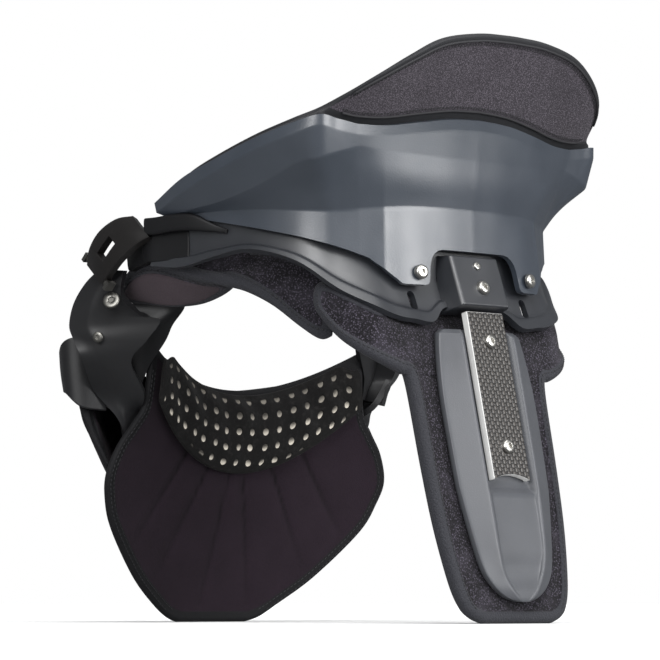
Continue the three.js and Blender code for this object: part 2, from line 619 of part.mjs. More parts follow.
const CHEST_COLUMNS = [-1, -0.9, -0.75, -0.55, -0.35, -0.17, 0, 0.17, 0.35, 0.55, 0.75, 0.9, 1];

function chestFlap() {
  const rows = (forward) => CHEST_FLAP.map((row) => CHEST_COLUMNS.map((t) => onChest(row, t, forward)));
  return slab(rows(0), rows(FLAP_THICKNESS));
}

function neckCollar() {
  const gap = 0.9;
  const near = NECK_COLLAR.map((row) => CHEST_COLUMNS.map((t) => onChest(row, t, -gap)));
  const far = NECK_COLLAR.map((row) => {
    const thick = (t) => row.thick * Math.sqrt(1 - 0.9 * t * t);
    return CHEST_COLUMNS.map((t) => onChest(row, t, -gap - thick(t)));
  });
  return slab(near, far);
}

function sidePanel(side) {
  const rows = ["outer", "crease", "inner"].map((key) => smooth(SIDE_PANEL.map((s) => vec(s[key]))));
  const columns = rows[0].map((outer, i) => {
    const [, crease, inner] = rows.map((row) => row[i]);
    return [outer, outer.clone().lerp(crease, 0.5), crease, crease.clone().lerp(inner, 0.5), inner];
  });
  const geometry = wall(columns, -FRONT_WALL);
  return side > 0 ? geometry : mirrorGeometry(geometry);
}

function neckWing(side) {
  const rows = ["outer", "neck"].map((key) => smooth(NECK_WING.map((s) => vec(s[key]))));
  const columns = rows[0].map((outer, i) => [0, 0.5, 1].map((t) => outer.clone().lerp(rows[1][i], t)));
  const geometry = wall(columns, -WING_THICKNESS);
  return side > 0 ? geometry : mirrorGeometry(geometry);
}

function mirrorGeometry(geometry) {
  const flipped = geometry.clone().scale(-1, 1, 1);
  const index = Array.from(flipped.index.array);
  for (let i = 0; i < index.length; i += 3) {
    [index[i + 1], index[i + 2]] = [index[i + 2], index[i + 1]];
  }
  return flipped.setIndex(index);
}

function frontBand() {
  const low = smooth(FRONT_BAND.map((s) => vec([...s.at, s.low])));
  const high = smooth(FRONT_BAND.map((s) => vec([...s.at, s.high])));
  const half = low.map((foot, i) => {
    const outward = foot.clone().sub(new THREE.Vector3(0, 0, foot.z)).normalize();
    const top = high[i].clone().addScaledVector(outward, 2.5);
    return [foot, foot.clone().lerp(top, 0.5), top];
  });
  return wall(whole(half.reverse()), -FRONT_WALL);
}

function frontSkirt() {
  const rows = ["top", "bulge", "hem"].map((key) => smooth(FRONT_SKIRT.map((s) => vec(s[key]))));
  const depth = smoothNumbers(FRONT_SKIRT.map((s) => s.depth));
  const half = rows[0].map((top, i) => {
    const [, bulge, hem] = rows.map((row) => row[i]);
    const back = new THREE.Vector3(0, -20, 0).sub(bulge).setZ(0).normalize();
    const behind = (p, share) => p.clone().addScaledVector(back, depth[i] * share);
    return [hem, bulge, top, behind(top, 0.75), behind(bulge, 1), behind(hem, 0.35)];
  });
  return loft(whole(half.reverse()));
}

function frontDeck() {
  const rows = ["front", "rear"].map((key) => smooth(FRONT_DECK.map((s) => vec(s[key]))));
  const half = rows[0].map((front, i) => {
    const rear = rows[1][i];
    const crown = front.clone().lerp(rear, 0.5);
    crown.z += 1.2;
    const under = [rear, crown, front].map((p) => new THREE.Vector3(p.x, p.y, p.z - DECK_THICKNESS));
    return [front, crown, rear, ...under];
  });
  return loft(whole(half));
}

// The lever's outer face follows its path; a window is cut through its middle
function latchClip(side) {
  const path = smooth((side > 0 ? CLIP_PATH : CLIP_PATH.slice(1)).map(vec));
  const rings = path.map((p, i) => {
    const along = path[Math.min(i + 1, path.length - 1)].clone().sub(path[Math.max(i - 1, 0)]);
    const across = LATCH_AXIS.clone();
    const inward = along.cross(across).normalize();
    if (inward.x > 0) inward.negate();
    const share = i / (path.length - 1);
    const half = ((side > 0 ? CLIP.width : CLIP.pinned) / 2) * (0.86 + 0.28 * Math.sin(Math.PI * share));
    const corner = (a, n) => p.clone().addScaledVector(across, a * half).addScaledVector(inward, n);
    const t = CLIP.thickness;
    return [corner(-1, 0.8), corner(-0.85, 0), corner(0.85, 0), corner(1, 0.8), corner(1, t), corner(-1, t)];
  });
  const middle = path[Math.round(path.length * 0.55)];
  const opening = mergeVertices(bare(new THREE.BoxGeometry(CLIP.slotWidth, 24, CLIP.slotLength)), 1e-4);
  const lever = cut(loft(rings), alongLatch(opening, middle.toArray()));
  if (side > 0) return cut(lever, alongLatch(crossRod(CLIP.pin + CLIP.play, 30), LATCH_PIVOT));
  const knuckle = uprightRod(CLIP.knuckle, 17);
  return cut(join(mirrorGeometry(lever), knuckle), uprightRod(CLIP.pin + CLIP.play, 40));
}

// A round rod along X, ready for alongLatch()
function crossRod(radius, length) {
  const rod = new THREE.CylinderGeometry(radius, radius, length, 16).rotateZ(Math.PI / 2);
  return mergeVertices(bare(rod), 1e-4);
}

// A round rod about the right-hand joint's axis
function uprightRod(radius, length, z = HINGE_PIN.z) {
  const rod = new THREE.CylinderGeometry(radius, radius, length, 20).rotateX(Math.PI / 2);
  return mergeVertices(bare(rod), 1e-4).translate(HINGE_PIN.x, HINGE_PIN.y, z);
}

// A geometry whose X is laid along the latch axis and whose Y points outwards
function alongLatch(geometry, at) {
  const outward = new THREE.Vector3(1, 0, 0);
  const along = new THREE.Vector3().crossVectors(LATCH_AXIS, outward).normalize();
  const basis = new THREE.Matrix4().makeBasis(LATCH_AXIS, outward, along);
  return geometry.applyMatrix4(basis).translate(at[0], at[1], at[2]);
}

// The lever's pivot pin with an ear at each end that stands on the side panel
function latchPivot() {
  const reach = CLIP.width / 2 + LATCH_EAR.gap + LATCH_EAR.thick / 2;
  const ear = (end) => {
    const { thick, deep, long } = LATCH_EAR;
    const box = mergeVertices(bare(new THREE.BoxGeometry(thick, deep, long)), 1e-4);
    return box.translate(end * reach, -0.4, 0);
  };
  const pin = crossRod(CLIP.pin, 2 * reach);
  return alongLatch([ear(1), ear(-1)].reduce(join, pin), LATCH_PIVOT);
}

// The right-hand joint's pin with an ear above and below the knuckle, rooted on the arm's end
function hingeBracket() {
  const { x, y, z, reach, ear } = HINGE_PIN;
  const block = (depth, height, forward, level) => {
    const box = mergeVertices(bare(new THREE.BoxGeometry(7, depth, height)), 1e-4);
    return box.translate(x + 1.5, y + forward, level);
  };
  const levels = [z + reach, z - reach];
  const ears = levels.flatMap((level) => [uprightRod(4.4, ear, level), block(9, ear, 3.8, level)]);
  const back = block(2.4, 2 * reach + ear, 7.3, z);
  return [...ears, back].reduce(join, uprightRod(CLIP.pin, 2 * reach));
}

function screwHead({ radius, height, socket, depth, sides }) {
  const dome = [
    [0, 0],
    [radius, 0],
    [radius, height * 0.35],
    [radius * 0.8, height * 0.8],
    [radius * 0.5, height],
    [0, height],
  ].map(([x, y]) => new THREE.Vector2(x, y));
  const head = new THREE.LatheGeometry(dome, sides).rotateX(Math.PI / 2);
  const hex = new THREE.CylinderGeometry(socket, socket, 2 * depth, 6).rotateX(Math.PI / 2);
  hex.translate(0, 0, height);
  return cut(mergeVertices(bare(head), 1e-4), mergeVertices(bare(hex), 1e-4));
}

function rivet({ radius, height }) {
  const dome = [[0, 0], [radius, 0], [radius * 0.85, height * 0.7], [0, height]];
  const profile = dome.map(([x, y]) => new THREE.Vector2(x, y));
  return mergeVertices(bare(new THREE.LatheGeometry(profile, 16).rotateX(Math.PI / 2)), 1e-4);
}

const brace = new THREE.Group();

function add(name, geometry, material) {
  const mesh = new THREE.Mesh(geometry, material);
  mesh.name = name;
  brace.add(mesh);
}

add("rear_shell", rearShell(), FINISH.shell);
add("helmet_pad", helmetPad(), FINISH.cloth);
add("rear_base", rearBase(), FINISH.base);
add("strut_plate", strutPlate(), FINISH.plate);
add("strut_strip", strutStrip(), FINISH.weave);
add("back_pad", backPad(), FINISH.loop);
add("chest_flap", chestFlap(), FINISH.cloth);
add("neck_collar", neckCollar(), FINISH.mesh);
add("front_band", frontBand(), FINISH.front);
add("front_skirt", frontSkirt(), FINISH.cloth);
add("front_deck", frontDeck(), FINISH.cloth);
add("hinge_bracket_right", hingeBracket(), FINISH.base);
add("latch_pivot_left", latchPivot(), FINISH.steel);
for (const [side, word] of [[1, "left"], [-1, "right"]]) {
  add(`shoulder_pad_${word}`, shoulderPad(side), FINISH.loop);
  add(`side_panel_${word}`, sidePanel(side), FINISH.front);
  add(`neck_wing_${word}`, neckWing(side), FINISH.front);
  add(`latch_clip_${word}`, latchClip(side), FINISH.front);
  for (const { name, head, at, faces } of PANEL_SCREWS) {
    const flip = ([x, y, z]) => [side * x, y, z];
    add(`${name}_${word}`, placed(screwHead(head), flip(at), flip(faces)), FINISH.steel);
  }
}
for (const { name, head, at, faces } of SCREWS) {
  add(name, placed(screwHead(head), at, faces), FINISH.steel);
}
for (const { name, z } of STRIP_SCREWS) {
  const seat = onStrut(0, z, STRIP.face + 0.3).toArray();
  const faces = [0, Math.cos(STRUT_LEAN), Math.sin(STRUT_LEAN)];
  add(name, placed(screwHead(BUTTON_HEAD), seat, faces), FINISH.steel);
}
add("boss_rivet", placed(rivet(BOSS_RIVET), BOSS_RIVET.at, BOSS_RIVET.faces), FINISH.steel);

brace.position.y = -STANCE_MIDDLE_Y;

export default brace;
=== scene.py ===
"""Looks of a karting neck brace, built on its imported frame.

Tables are in millimetres in the neck's own frame (+X the wearer's left, +Y the back, +Z up) and are moved
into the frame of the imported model, in metres, when a mesh is made.
"""

import logging
import math
from collections.abc import Sequence
from dataclasses import dataclass, field
from enum import Enum
from typing import Any

import bmesh
import bpy
import numpy as np
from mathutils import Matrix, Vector


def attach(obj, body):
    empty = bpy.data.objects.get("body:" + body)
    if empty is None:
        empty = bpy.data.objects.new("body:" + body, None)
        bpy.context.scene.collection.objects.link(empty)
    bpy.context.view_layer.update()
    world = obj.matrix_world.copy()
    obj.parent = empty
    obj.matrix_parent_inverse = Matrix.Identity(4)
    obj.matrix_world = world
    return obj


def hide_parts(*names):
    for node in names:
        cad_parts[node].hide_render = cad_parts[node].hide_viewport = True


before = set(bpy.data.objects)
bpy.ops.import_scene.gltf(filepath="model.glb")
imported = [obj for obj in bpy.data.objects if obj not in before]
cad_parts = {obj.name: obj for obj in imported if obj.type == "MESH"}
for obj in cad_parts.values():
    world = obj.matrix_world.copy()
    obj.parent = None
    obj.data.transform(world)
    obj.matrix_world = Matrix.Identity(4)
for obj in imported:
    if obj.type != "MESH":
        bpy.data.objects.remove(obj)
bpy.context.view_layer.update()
LOG = logging.getLogger("neck_brace")

Array = np.ndarray
Piece = bpy.types.Object
Material = bpy.types.Material
Point = tuple[float, float, float]
Colour = tuple[float, float, float]
Pair = tuple[float, float]
Numbers = tuple[float, ...]
Table = tuple[Numbers, ...]
Values = Array | Numbers | Table

MM = 0.001
STANCE_MIDDLE_Y = 9.4
STRUT_LEAN = math.radians(12.6)
STRUT_Y = 117.5
STRUT_Z = 115.0
UP = np.array([0.0, 0.0, 1.0])
LEVEL = np.array([1.0, 1.0, 0.0])
NECK_MIDDLE = np.array([0.0, 20.0, 0.0])
FAR_FROM_SEAMS = 30.0
SEAM_LIFT = 0.15
CLOTH_FRAMES = 20
BEND_STEPS = 5


class Body(Enum):
    """The rigid bodies that pieces ride on."""

    REAR = "rear_half"
    FRONT = "front_half"
    LATCH = "latch"


class Side(Enum):
    """The wearer's left or right, as a sign on X."""

    LEFT = 1
    RIGHT = -1

    @property
    def word(self) -> str:
        """The side's name in piece names."""
        return self.name.lower()

    @property
    def flip(self) -> Array:
        """Factors that carry a left-hand point to this side."""
        return np.array([self.value, 1.0, 1.0])


# Numbers on grids


def curve(points: Values, at: Array, corners: Sequence[int] = ()) -> Array:
    """A uniform Catmull-Rom curve through points, read at the stations given.

    Each span is the cubic whose end slopes are half the difference of the neighbours; at a corner, and at
    both ends, the missing neighbour is the span mirrored through that point.

    Args:
        points: Values by station, of any further shape.
        at: Stations to read, as numbers from 0 to the last station.
        corners: Stations where the slope may jump.

    Returns:
        The values at those stations.
    """
    points = np.asarray(points, dtype=float)
    last = len(points) - 1
    i = np.clip(at.astype(int), 0, last - 1)
    shape = (-1,) + (1,) * (points.ndim - 1)
    f = (at - i).reshape(shape)
    fixed = np.isin(np.arange(last + 1), [0, *corners, last])
    start, end = points[i], points[i + 1]
    before = np.where(fixed[i].reshape(shape), 2 * start - end, points[i - 1])
    after = np.where(fixed[i + 1].reshape(shape), 2 * end - start, points[np.minimum(i + 2, last)])
    square = 2 * before - 5 * start + 4 * end - after
    cube = 3 * start - before - 3 * end + after
    return 0.5 * (2 * start + (end - before) * f + square * f**2 + cube * f**3)


def dense(points: Values, steps: int, corners: Sequence[int] = ()) -> Array:
    """The curve through points with that many steps in each span."""
    last = len(points) - 1
    return curve(points, np.linspace(0, last, last * steps + 1), corners)


def bend(before: Array, here: Array, after: Array, share: float, steps: int) -> Array:
    """A rounded bend at a row: the quadratic curve between two points, with the row itself as its handle.

    Args:
        before: The row before, columns by 1 by 3.
        here: The row itself.
        after: The row after.
        share: Where the curve starts and ends, as a share of the way to those rows.
        steps: Steps in the bend.

    Returns:
        Columns by steps + 1 by 3.
    """
    t = np.linspace(0, 1, steps + 1)[None, :, None]
    a = here + (before - here) * share
    b = here + (after - here) * share
    return a * (1 - t) ** 2 + 2 * here * t * (1 - t) + b * t**2


def filleted(rows: Array, shares: Sequence[float], steps: int = 6) -> Array:
    """Rows of control points, columns by rows by 3, joined by straight runs with a bend at each inner row."""
    bends = [
        bend(rows[:, k - 1 : k], rows[:, k : k + 1], rows[:, k + 1 : k + 2], share, steps)
        for k, share in enumerate(shares, start=1)
    ]
    return np.concatenate([rows[:, :1], *bends, rows[:, -1:]], axis=1)


def filleted_loop(
    rows: Array, shares: Sequence[float], steps: int, between: Sequence[int]
) -> tuple[Array, int]:
    """Closed sections with rounded bends, and points on the straight runs between them.

    Args:
        rows: Control points, columns by rows by 3, the last row joined to the first.
        shares: Each bend's share of the way to its neighbours.
        steps: Steps in each bend.
        between: Points put on the run after each bend.

    Returns:
        Columns by many rows by 3, and the place in a column of the second control row.
    """
    before, after = np.roll(rows, 1, axis=1), np.roll(rows, -1, axis=1)
    row = [slice(k, k + 1) for k in range(rows.shape[1])]
    bends = [bend(before[:, k], rows[:, k], after[:, k], s, steps) for k, s in zip(row, shares)]
    parts: list[Array] = []
    for here, ahead, count in zip(bends, bends[1:] + bends[:1], between):
        f = (np.arange(1, count + 1) / (count + 1))[None, :, None]
        parts += [here, here[:, -1:] + (ahead[:, :1] - here[:, -1:]) * f]
    return np.concatenate(parts, axis=1), steps + 1 + between[0] + steps // 2


def whole(half: Array) -> Array:
    """Columns from the middle outwards, made whole by mirroring in X."""
    return np.concatenate([half[:0:-1] * Side.RIGHT.flip, half])


def unit(v: Array) -> Array:
    """Vectors along the last axis, brought to length one."""
    return v / np.maximum(np.linalg.norm(v, axis=-1, keepdims=True), 1e-9)


def grid_normals(points: Array) -> Array:
    """Normals of a grid: the cross product of the steps along its two directions."""
    return unit(np.cross(np.gradient(points, axis=0), np.gradient(points, axis=1)))


def rear_normals(points: Array) -> Array:
    """Normals of a grid, turned to face the back at its middle."""
    normal = grid_normals(points)
    return -normal if normal[len(points) // 2, points.shape[1] // 2, 1] < 0 else normal


def lengths(points: Array, axis: int = 0) -> Array:
    """Distance run along an axis of points, at each of them."""
    step = np.linalg.norm(np.diff(points, axis=axis), axis=-1)
    start = np.zeros_like(step.take([0], axis=axis))
    return np.concatenate([start, step.cumsum(axis=axis)], axis=axis)


def ring_run(rings: Array) -> Array:
    """Distance run round each ring, counted from its last point."""
    return np.linalg.norm(rings - np.roll(rings, 1, axis=1), axis=-1).cumsum(axis=1)


def even_path(path: Array, pitch: float, *others: Array) -> list[Array]:
    """A path, and other values along it, read again at an even pitch.

    Args:
        path: Points of the path.
        pitch: Wanted distance between points; it is stretched to fit a whole number.
        others: Further values at the same points.

    Returns:
        The path and the other values at the new points.
    """
    run = lengths(path)
    at = np.linspace(0, run[-1], max(int(round(run[-1] / pitch)), 2) + 1)
    return [
        np.stack([np.interp(at, run, v[:, k]) for k in range(v.shape[1])], axis=1)
        for v in (path, *others)
    ]


def smoothstep(low: float, high: float, x: Array) -> Array:
    """A soft step from 0 at low to 1 at high."""
    t = np.clip((x - low) / (high - low), 0, 1)
    return t * t * (3 - 2 * t)


def split_levels(split: int, last: int, below: int, above: int) -> Array:
    """Stations from 0 to last: a count of points up to a split and another from there on."""
    return np.concatenate([np.linspace(0, split, below), np.linspace(split, last, above)[1:]])


def rolled(edge: Array, radius: float) -> Array:
    """How far a rounded rim falls back at distances from its edge: a quarter circle of a radius."""
    return radius * (1 - np.sqrt(1 - np.clip(1 - edge / radius, 0, 1) ** 2))


def angles(count: int) -> Array:
    """Angles once round in even steps."""
    return np.linspace(0, 2 * math.pi, count, endpoint=False)


def signed_power(value: Array, power: float) -> Array:
    """The size of a value raised to a power, its sign kept; it squares up a cosine or a sine."""
    return np.sign(value) * np.abs(value) ** power


def lathe(radius: Array, level: Array, angle: Array) -> Array:
    """Rings of points about Z, from radii and levels by ring and angle."""
    x, y = radius * np.cos(angle), radius * np.sin(angle)
    return np.stack(np.broadcast_arrays(x, y, level), axis=-1)


def on_strut(x: Array, z: Array, out: Array) -> Array:
    """Points of the leaning strut: across, height, and how far they stand behind the plate's edges."""
    y = STRUT_Y + (STRUT_Z - z) * math.tan(STRUT_LEAN) + out
    return np.stack(np.broadcast_arrays(x, y, z), axis=-1)


def outline(grid: Array) -> Array:
    """The values on a grid's four edges, once round."""
    return np.concatenate([grid[0, :-1], grid[:-1, -1], grid[-1, :0:-1], grid[:0:-1, 0]])


def outline_distance(flat: Array) -> Array:
    """Distance of each point of a flat grid, u by v by 2, to the nearest point of the grid's own outline."""
    rim = outline(flat)
    t = np.linspace(0, 1, 4, endpoint=False)[:, None, None]
    line = (rim[None] * (1 - t) + np.roll(rim, -1, axis=0)[None] * t).reshape(-1, 2)
    return np.stack([np.linalg.norm(row[:, None] - line[None], axis=-1).min(axis=1) for row in flat])


def contour(grid: Array, normal: Array, distance: Array, wanted: float) -> tuple[Array, Array]:
    """The line across a grid's columns where a distance first reaches a wanted value.

    Args:
        grid: Points, columns by rows by 3.
        normal: Normals at those points.
        distance: A value by column and row that starts small in each column.
        wanted: The value to find.

    Returns:
        The line's points and normals, one for each column.
    """
    k = np.clip(np.argmax(distance >= wanted, axis=1), 1, None)
    c = np.arange(len(grid))
    low, high = distance[c, k - 1], distance[c, k]
    t = np.clip((wanted - low) / np.maximum(high - low, 1e-6), 0, 1)[:, None]
    return grid[c, k - 1] * (1 - t) + grid[c, k] * t, unit(normal[c, k])


def sweep(path: Array, normal: Array, profile: Array) -> Array:
    """A profile carried along a path: each ring is the profile laid in the plane of side and normal.

    Args:
        path: Points of the path.
        normal: The way up at each of them.
        profile: Points of the profile, across and up.

    Returns:
        Rings of points.
    """
    tangent = unit(np.gradient(path, axis=0))
    side = unit(np.cross(tangent, normal))
    up = np.cross(side, tangent)
    return path[:, None] + side[:, None] * profile[None, :, :1] + up[:, None] * profile[None, :, 1:]


# Meshes


def to_scene(points: Array) -> Array:
    """Millimetres in the neck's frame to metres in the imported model's frame."""
    return (points - np.array([0.0, STANCE_MIDDLE_Y, 0.0])) * MM


def quads(u: int, v: int, wrap: bool) -> Array:
    """Corner numbers of a grid's faces, u rows of v points, each row closed if wrap."""
    i = np.arange(u * v).reshape(u, v)
    here, right = (i, np.roll(i, -1, axis=1)) if wrap else (i[:, :-1], i[:, 1:])
    return np.stack([here[:-1], right[:-1], right[1:], here[1:]], axis=-1).reshape(-1, 4)


def add_mesh(
    name: str,
    points: Array,
    faces: list[list[int]],
    layers: dict[str, Array] | None = None,
    uv: Array | None = None,
    closed: bool = True,
) -> Piece:
    """Puts points and faces into a new smooth mesh object at the origin.

    Args:
        name: Name of the piece.
        points: Points in millimetres, any shape ending in 3.
        faces: Corner numbers of each face.
        layers: Values by point, stored as attributes of those names.
        uv: Pattern coordinates by point.
        closed: Whether the faces close the piece, so that their outside can be found.

    Returns:
        The object.
    """
    mesh = bpy.data.meshes.new(name)
    mesh.from_pydata(to_scene(points.reshape(-1, 3)).tolist(), [], faces)
    for key, values in (layers or {}).items():
        layer = mesh.attributes.new(key, "FLOAT", "POINT")
        layer.data.foreach_set("value", np.ravel(values).astype(np.float32))
    if uv is not None:
        corner = np.empty(len(mesh.loops), dtype=np.int32)
        mesh.loops.foreach_get("vertex_index", corner)
        pattern = mesh.uv_layers.new(name="pattern")
        pattern.data.foreach_set("uv", uv.reshape(-1, 2)[corner].ravel())
    if closed:
        work = bmesh.new()
        work.from_mesh(mesh)
        bmesh.ops.recalc_face_normals(work, faces=work.faces)
        work.to_mesh(mesh)
        work.free()
    mesh.shade_smooth()
    piece = bpy.data.objects.new(name, mesh)
    bpy.context.collection.objects.link(piece)
    return piece


def add_grid(name: str, grid: Array, flip: bool = False, **kept: Any) -> Piece:
    """An open sheet from a grid of points.

    Args:
        name: Name of the piece.
        grid: Points, u by v by 3.
        flip: Whether to turn its faces round.
        kept: Layers and pattern coordinates, as add_mesh takes them.

    Returns:
        The object.
    """
    faces = quads(*grid.shape[:2], wrap=False)
    return add_mesh(name, grid, (faces[:, ::-1] if flip else faces).tolist(), closed=False, **kept)


def add_tube(name: str, rings: Array, **kept: Any) -> Piece:
    """A closed solid through rings of points, ring by place by 3, with a face at either end."""
    u, v = rings.shape[:2]
    ends = [list(range(v)), list(range((u - 1) * v, u * v))]
    return add_mesh(name, rings, quads(u, v, wrap=True).tolist() + ends, **kept)


def add_slab(
    name: str, face: Array, back: Array, layers: dict[str, Array], uv: Array | None = None
) -> Piece:
    """A closed pad from its two faces, whose edges already meet or nearly meet.

    Args:
        name: Name of the piece.
        face: Points of one face, u by v by 3.
        back: The matching points of the other face.
        layers: Values at the points of a face, used for both.
        uv: Pattern coordinates at the points of a face, used for both.

    Returns:
        The object.
    """
    u, v = face.shape[:2]
    count = u * v
    front = quads(u, v, wrap=False)
    rim = outline(np.arange(count).reshape(u, v))
    after = np.roll(rim, -1)
    side = np.stack([rim, after, after + count, rim + count], axis=-1)
    faces = np.concatenate([front, front[:, ::-1] + count, side]).tolist()
    both = {key: np.tile(np.ravel(values), 2) for key, values in layers.items()}
    pattern = None if uv is None else np.tile(uv.reshape(-1, 2), (2, 1))
    return add_mesh(name, np.stack([face, back]), faces, both, pattern)


def add_piping(name: str, path: Array, normal: Array, radius: float) -> Piece:
    """A round piping along a path, as a closed tube."""
    angle = angles(8)
    ring = radius * np.stack([np.cos(angle), np.sin(angle)], axis=-1)
    return add_tube(name, sweep(path, normal, ring))


def round_edges(piece: Piece, width: float, angle: float = 40.0) -> None:
    """Rounds every edge sharper than an angle, in degrees, by a width in millimetres."""
    bevel = piece.modifiers.new("rounded", "BEVEL")
    bevel.width = width * MM
    bevel.segments = 3
    bevel.limit_method = "ANGLE"
    bevel.angle_limit = math.radians(angle)
    bevel.harden_normals = True


def add_wall(piece: Piece, wall: float, even: bool = True) -> None:
    """Gives an open sheet a wall in millimetres against its normals, of even thickness if wanted."""
    solid = piece.modifiers.new("wall", "SOLIDIFY")
    solid.thickness = wall * MM
    solid.offset = -1.0
    solid.use_even_offset = even


def thicken(piece: Piece, wall: float, edge: float) -> None:
    """Gives an open sheet its wall, with rims rounded by a width."""
    add_wall(piece, wall)
    round_edges(piece, edge)


def carve(piece: Piece, *cutters: Piece) -> None:
    """Cuts other solids out of a piece for good and removes them."""
    for cutter in cutters:
        cut = piece.modifiers.new("cut", "BOOLEAN")
        cut.object = cutter
        cut.operation = "DIFFERENCE"
        cut.solver = "EXACT"
    depsgraph = bpy.context.evaluated_depsgraph_get()
    made = bpy.data.meshes.new_from_object(piece.evaluated_get(depsgraph))
    spent = [piece.data, *(cutter.data for cutter in cutters)]
    piece.modifiers.clear()
    piece.data = made
    for cutter in cutters:
        bpy.data.objects.remove(cutter)
    for mesh in spent:
        bpy.data.meshes.remove(mesh)


def subdivide(piece: Piece) -> None:
    """Smooths a piece by one subdivision, alike in view and render."""
    smooth = piece.modifiers.new("smooth", "SUBSURF")
    smooth.levels = 1
    smooth.render_levels = 1


# Shaders


class Wire:
    """A value in a shader; arithmetic on it adds Math nodes."""

    def __init__(self, shader: "Shader", socket: bpy.types.NodeSocket) -> None:
        """Wraps an output socket of a shader's tree."""
        self.shader = shader
        self.socket = socket

    def math(self, operation: str, *values: Any) -> "Wire":
        """A Math node of that operation on the values given."""
        return self.shader.node("ShaderNodeMath", {"operation": operation}, dict(enumerate(values)))

    def __add__(self, other: Any) -> "Wire":
        """Sum."""
        return self.math("ADD", self, other)

    __radd__ = __add__

    def __sub__(self, other: Any) -> "Wire":
        """Difference."""
        return self.math("SUBTRACT", self, other)

    def __rsub__(self, other: Any) -> "Wire":
        """Difference, this value taken from the other."""
        return self.math("SUBTRACT", other, self)

    def __mul__(self, other: Any) -> "Wire":
        """Product."""
        return self.math("MULTIPLY", self, other)

    __rmul__ = __mul__

    def __truediv__(self, other: Any) -> "Wire":
        """Quotient."""
        return self.math("DIVIDE", self, other)

    def __pow__(self, other: Any) -> "Wire":
        """Power."""
        return self.math("POWER", self, other)

    def floor(self) -> "Wire":
        """Whole part."""
        return self.math("FLOOR", self)

    def fraction(self) -> "Wire":
        """Part after the point."""
        return self.math("FRACT", self)

    def step(self, low: float, high: float) -> "Wire":
        """A soft step: 0 at low and 1 at high, or the other way round if low is the larger."""
        settings = {"interpolation_type": "SMOOTHSTEP"}
        ends = {"From Min": min(low, high), "From Max": max(low, high)}
        risen = self.shader.node("ShaderNodeMapRange", settings, {"Value": self, **ends})
        return 1 - risen if low > high else risen


class Shader:
    """One material under construction."""

    def __init__(self, name: str) -> None:
        """Starts a material with a bare Principled shader."""
        self.material = bpy.data.materials.new(name)
        self.material.use_nodes = True
        self.tree = self.material.node_tree
        self.surface = self.tree.nodes["Principled BSDF"]

    def node(self, kind: str, settings: dict[str, Any], sockets: dict[Any, Any], out: Any = 0) -> Wire:
        """Adds any node.

        Args:
            kind: The node's type.
            settings: Its properties, set first.
            sockets: Values or links of its inputs, by name or number.
            out: The output wanted.

        Returns:
            That output.
        """
        made = self.tree.nodes.new(kind)
        for key, value in settings.items():
            setattr(made, key, value)
        for key, value in sockets.items():
            self.link(made.inputs[key], value)
        return Wire(self, made.outputs[out])

    def link(self, socket: bpy.types.NodeSocket, value: Any) -> None:
        """Links a wire to an input, or sets the input's own value."""
        if isinstance(value, Wire):
            self.tree.links.new(value.socket, socket)
        elif socket.type == "RGBA" and len(value) == 3:
            socket.default_value = (*value, 1.0)
        else:
            socket.default_value = value

    def set(self, **sockets: Any) -> None:
        """Sets or links the Principled shader's inputs, named with underscores for spaces."""
        for key, value in sockets.items():
            self.link(self.surface.inputs[key.replace("_", " ")], value)

    def place(self) -> Wire:
        """Object coordinates."""
        return self.node("ShaderNodeTexCoord", {}, {}, "Object")

    def layer(self, name: str) -> Wire:
        """A piece's own attribute."""
        return self.node("ShaderNodeAttribute", {"attribute_name": name}, {}, "Fac")

    def pattern(self) -> tuple[Wire, Wire]:
        """The piece's own pattern coordinates, in metres."""
        uv = self.node("ShaderNodeUVMap", {"uv_map": "pattern"}, {})
        split = self.node("ShaderNodeSeparateXYZ", {}, {0: uv})
        return split, Wire(self, split.socket.node.outputs[1])

    def stretched(self, scale: Point) -> Wire:
        """Object coordinates multiplied axis by axis."""
        return self.node("ShaderNodeMapping", {}, {"Vector": self.place(), "Scale": scale})

    def noise(self, size: float, detail: float = 2.0, at: Wire | None = None, rough: float = 0.5) -> Wire:
        """Noise with features of a size in millimetres."""
        sockets = {"Vector": at or self.place(), "Scale": 1 / (size * MM)}
        return self.node("ShaderNodeTexNoise", {}, {**sockets, "Detail": detail, "Roughness": rough})

    def cells(self, size: float) -> Wire:
        """Distance in cells of a size in millimetres."""
        sockets = {"Vector": self.place(), "Scale": 1 / (size * MM)}
        return self.node("ShaderNodeTexVoronoi", {}, sockets, "Distance")

    def mix(self, factor: Any, a: Any, b: Any) -> Wire:
        """A colour between two others."""
        return self.node("ShaderNodeMix", {"data_type": "RGBA"}, {0: factor, 6: a, 7: b}, 2)

    def shades(self, factor: Any, colour: Colour, first: float, last: float) -> Wire:
        """A colour between two shades of itself."""
        return self.mix(factor, tone(colour, first), tone(colour, last))

    def taped(self, width: float) -> Wire:
        """One on the tape along a piece's edge and nought inside it, by the layer edge."""
        return self.layer("edge").step(width + 0.3, width - 0.1)

    def bump(self, height: Wire, depth: float, under: Wire | None = None) -> Wire:
        """A normal bent by a height whose full range is a depth in millimetres."""
        sockets: dict[Any, Any] = {"Height": height, "Distance": depth * MM}
        if under is not None:
            sockets["Normal"] = under
        return self.node("ShaderNodeBump", {}, sockets)


def tone(colour: Colour, by: float) -> Colour:
    """A colour made darker or lighter by a factor."""
    return (colour[0] * by, colour[1] * by, colour[2] * by)


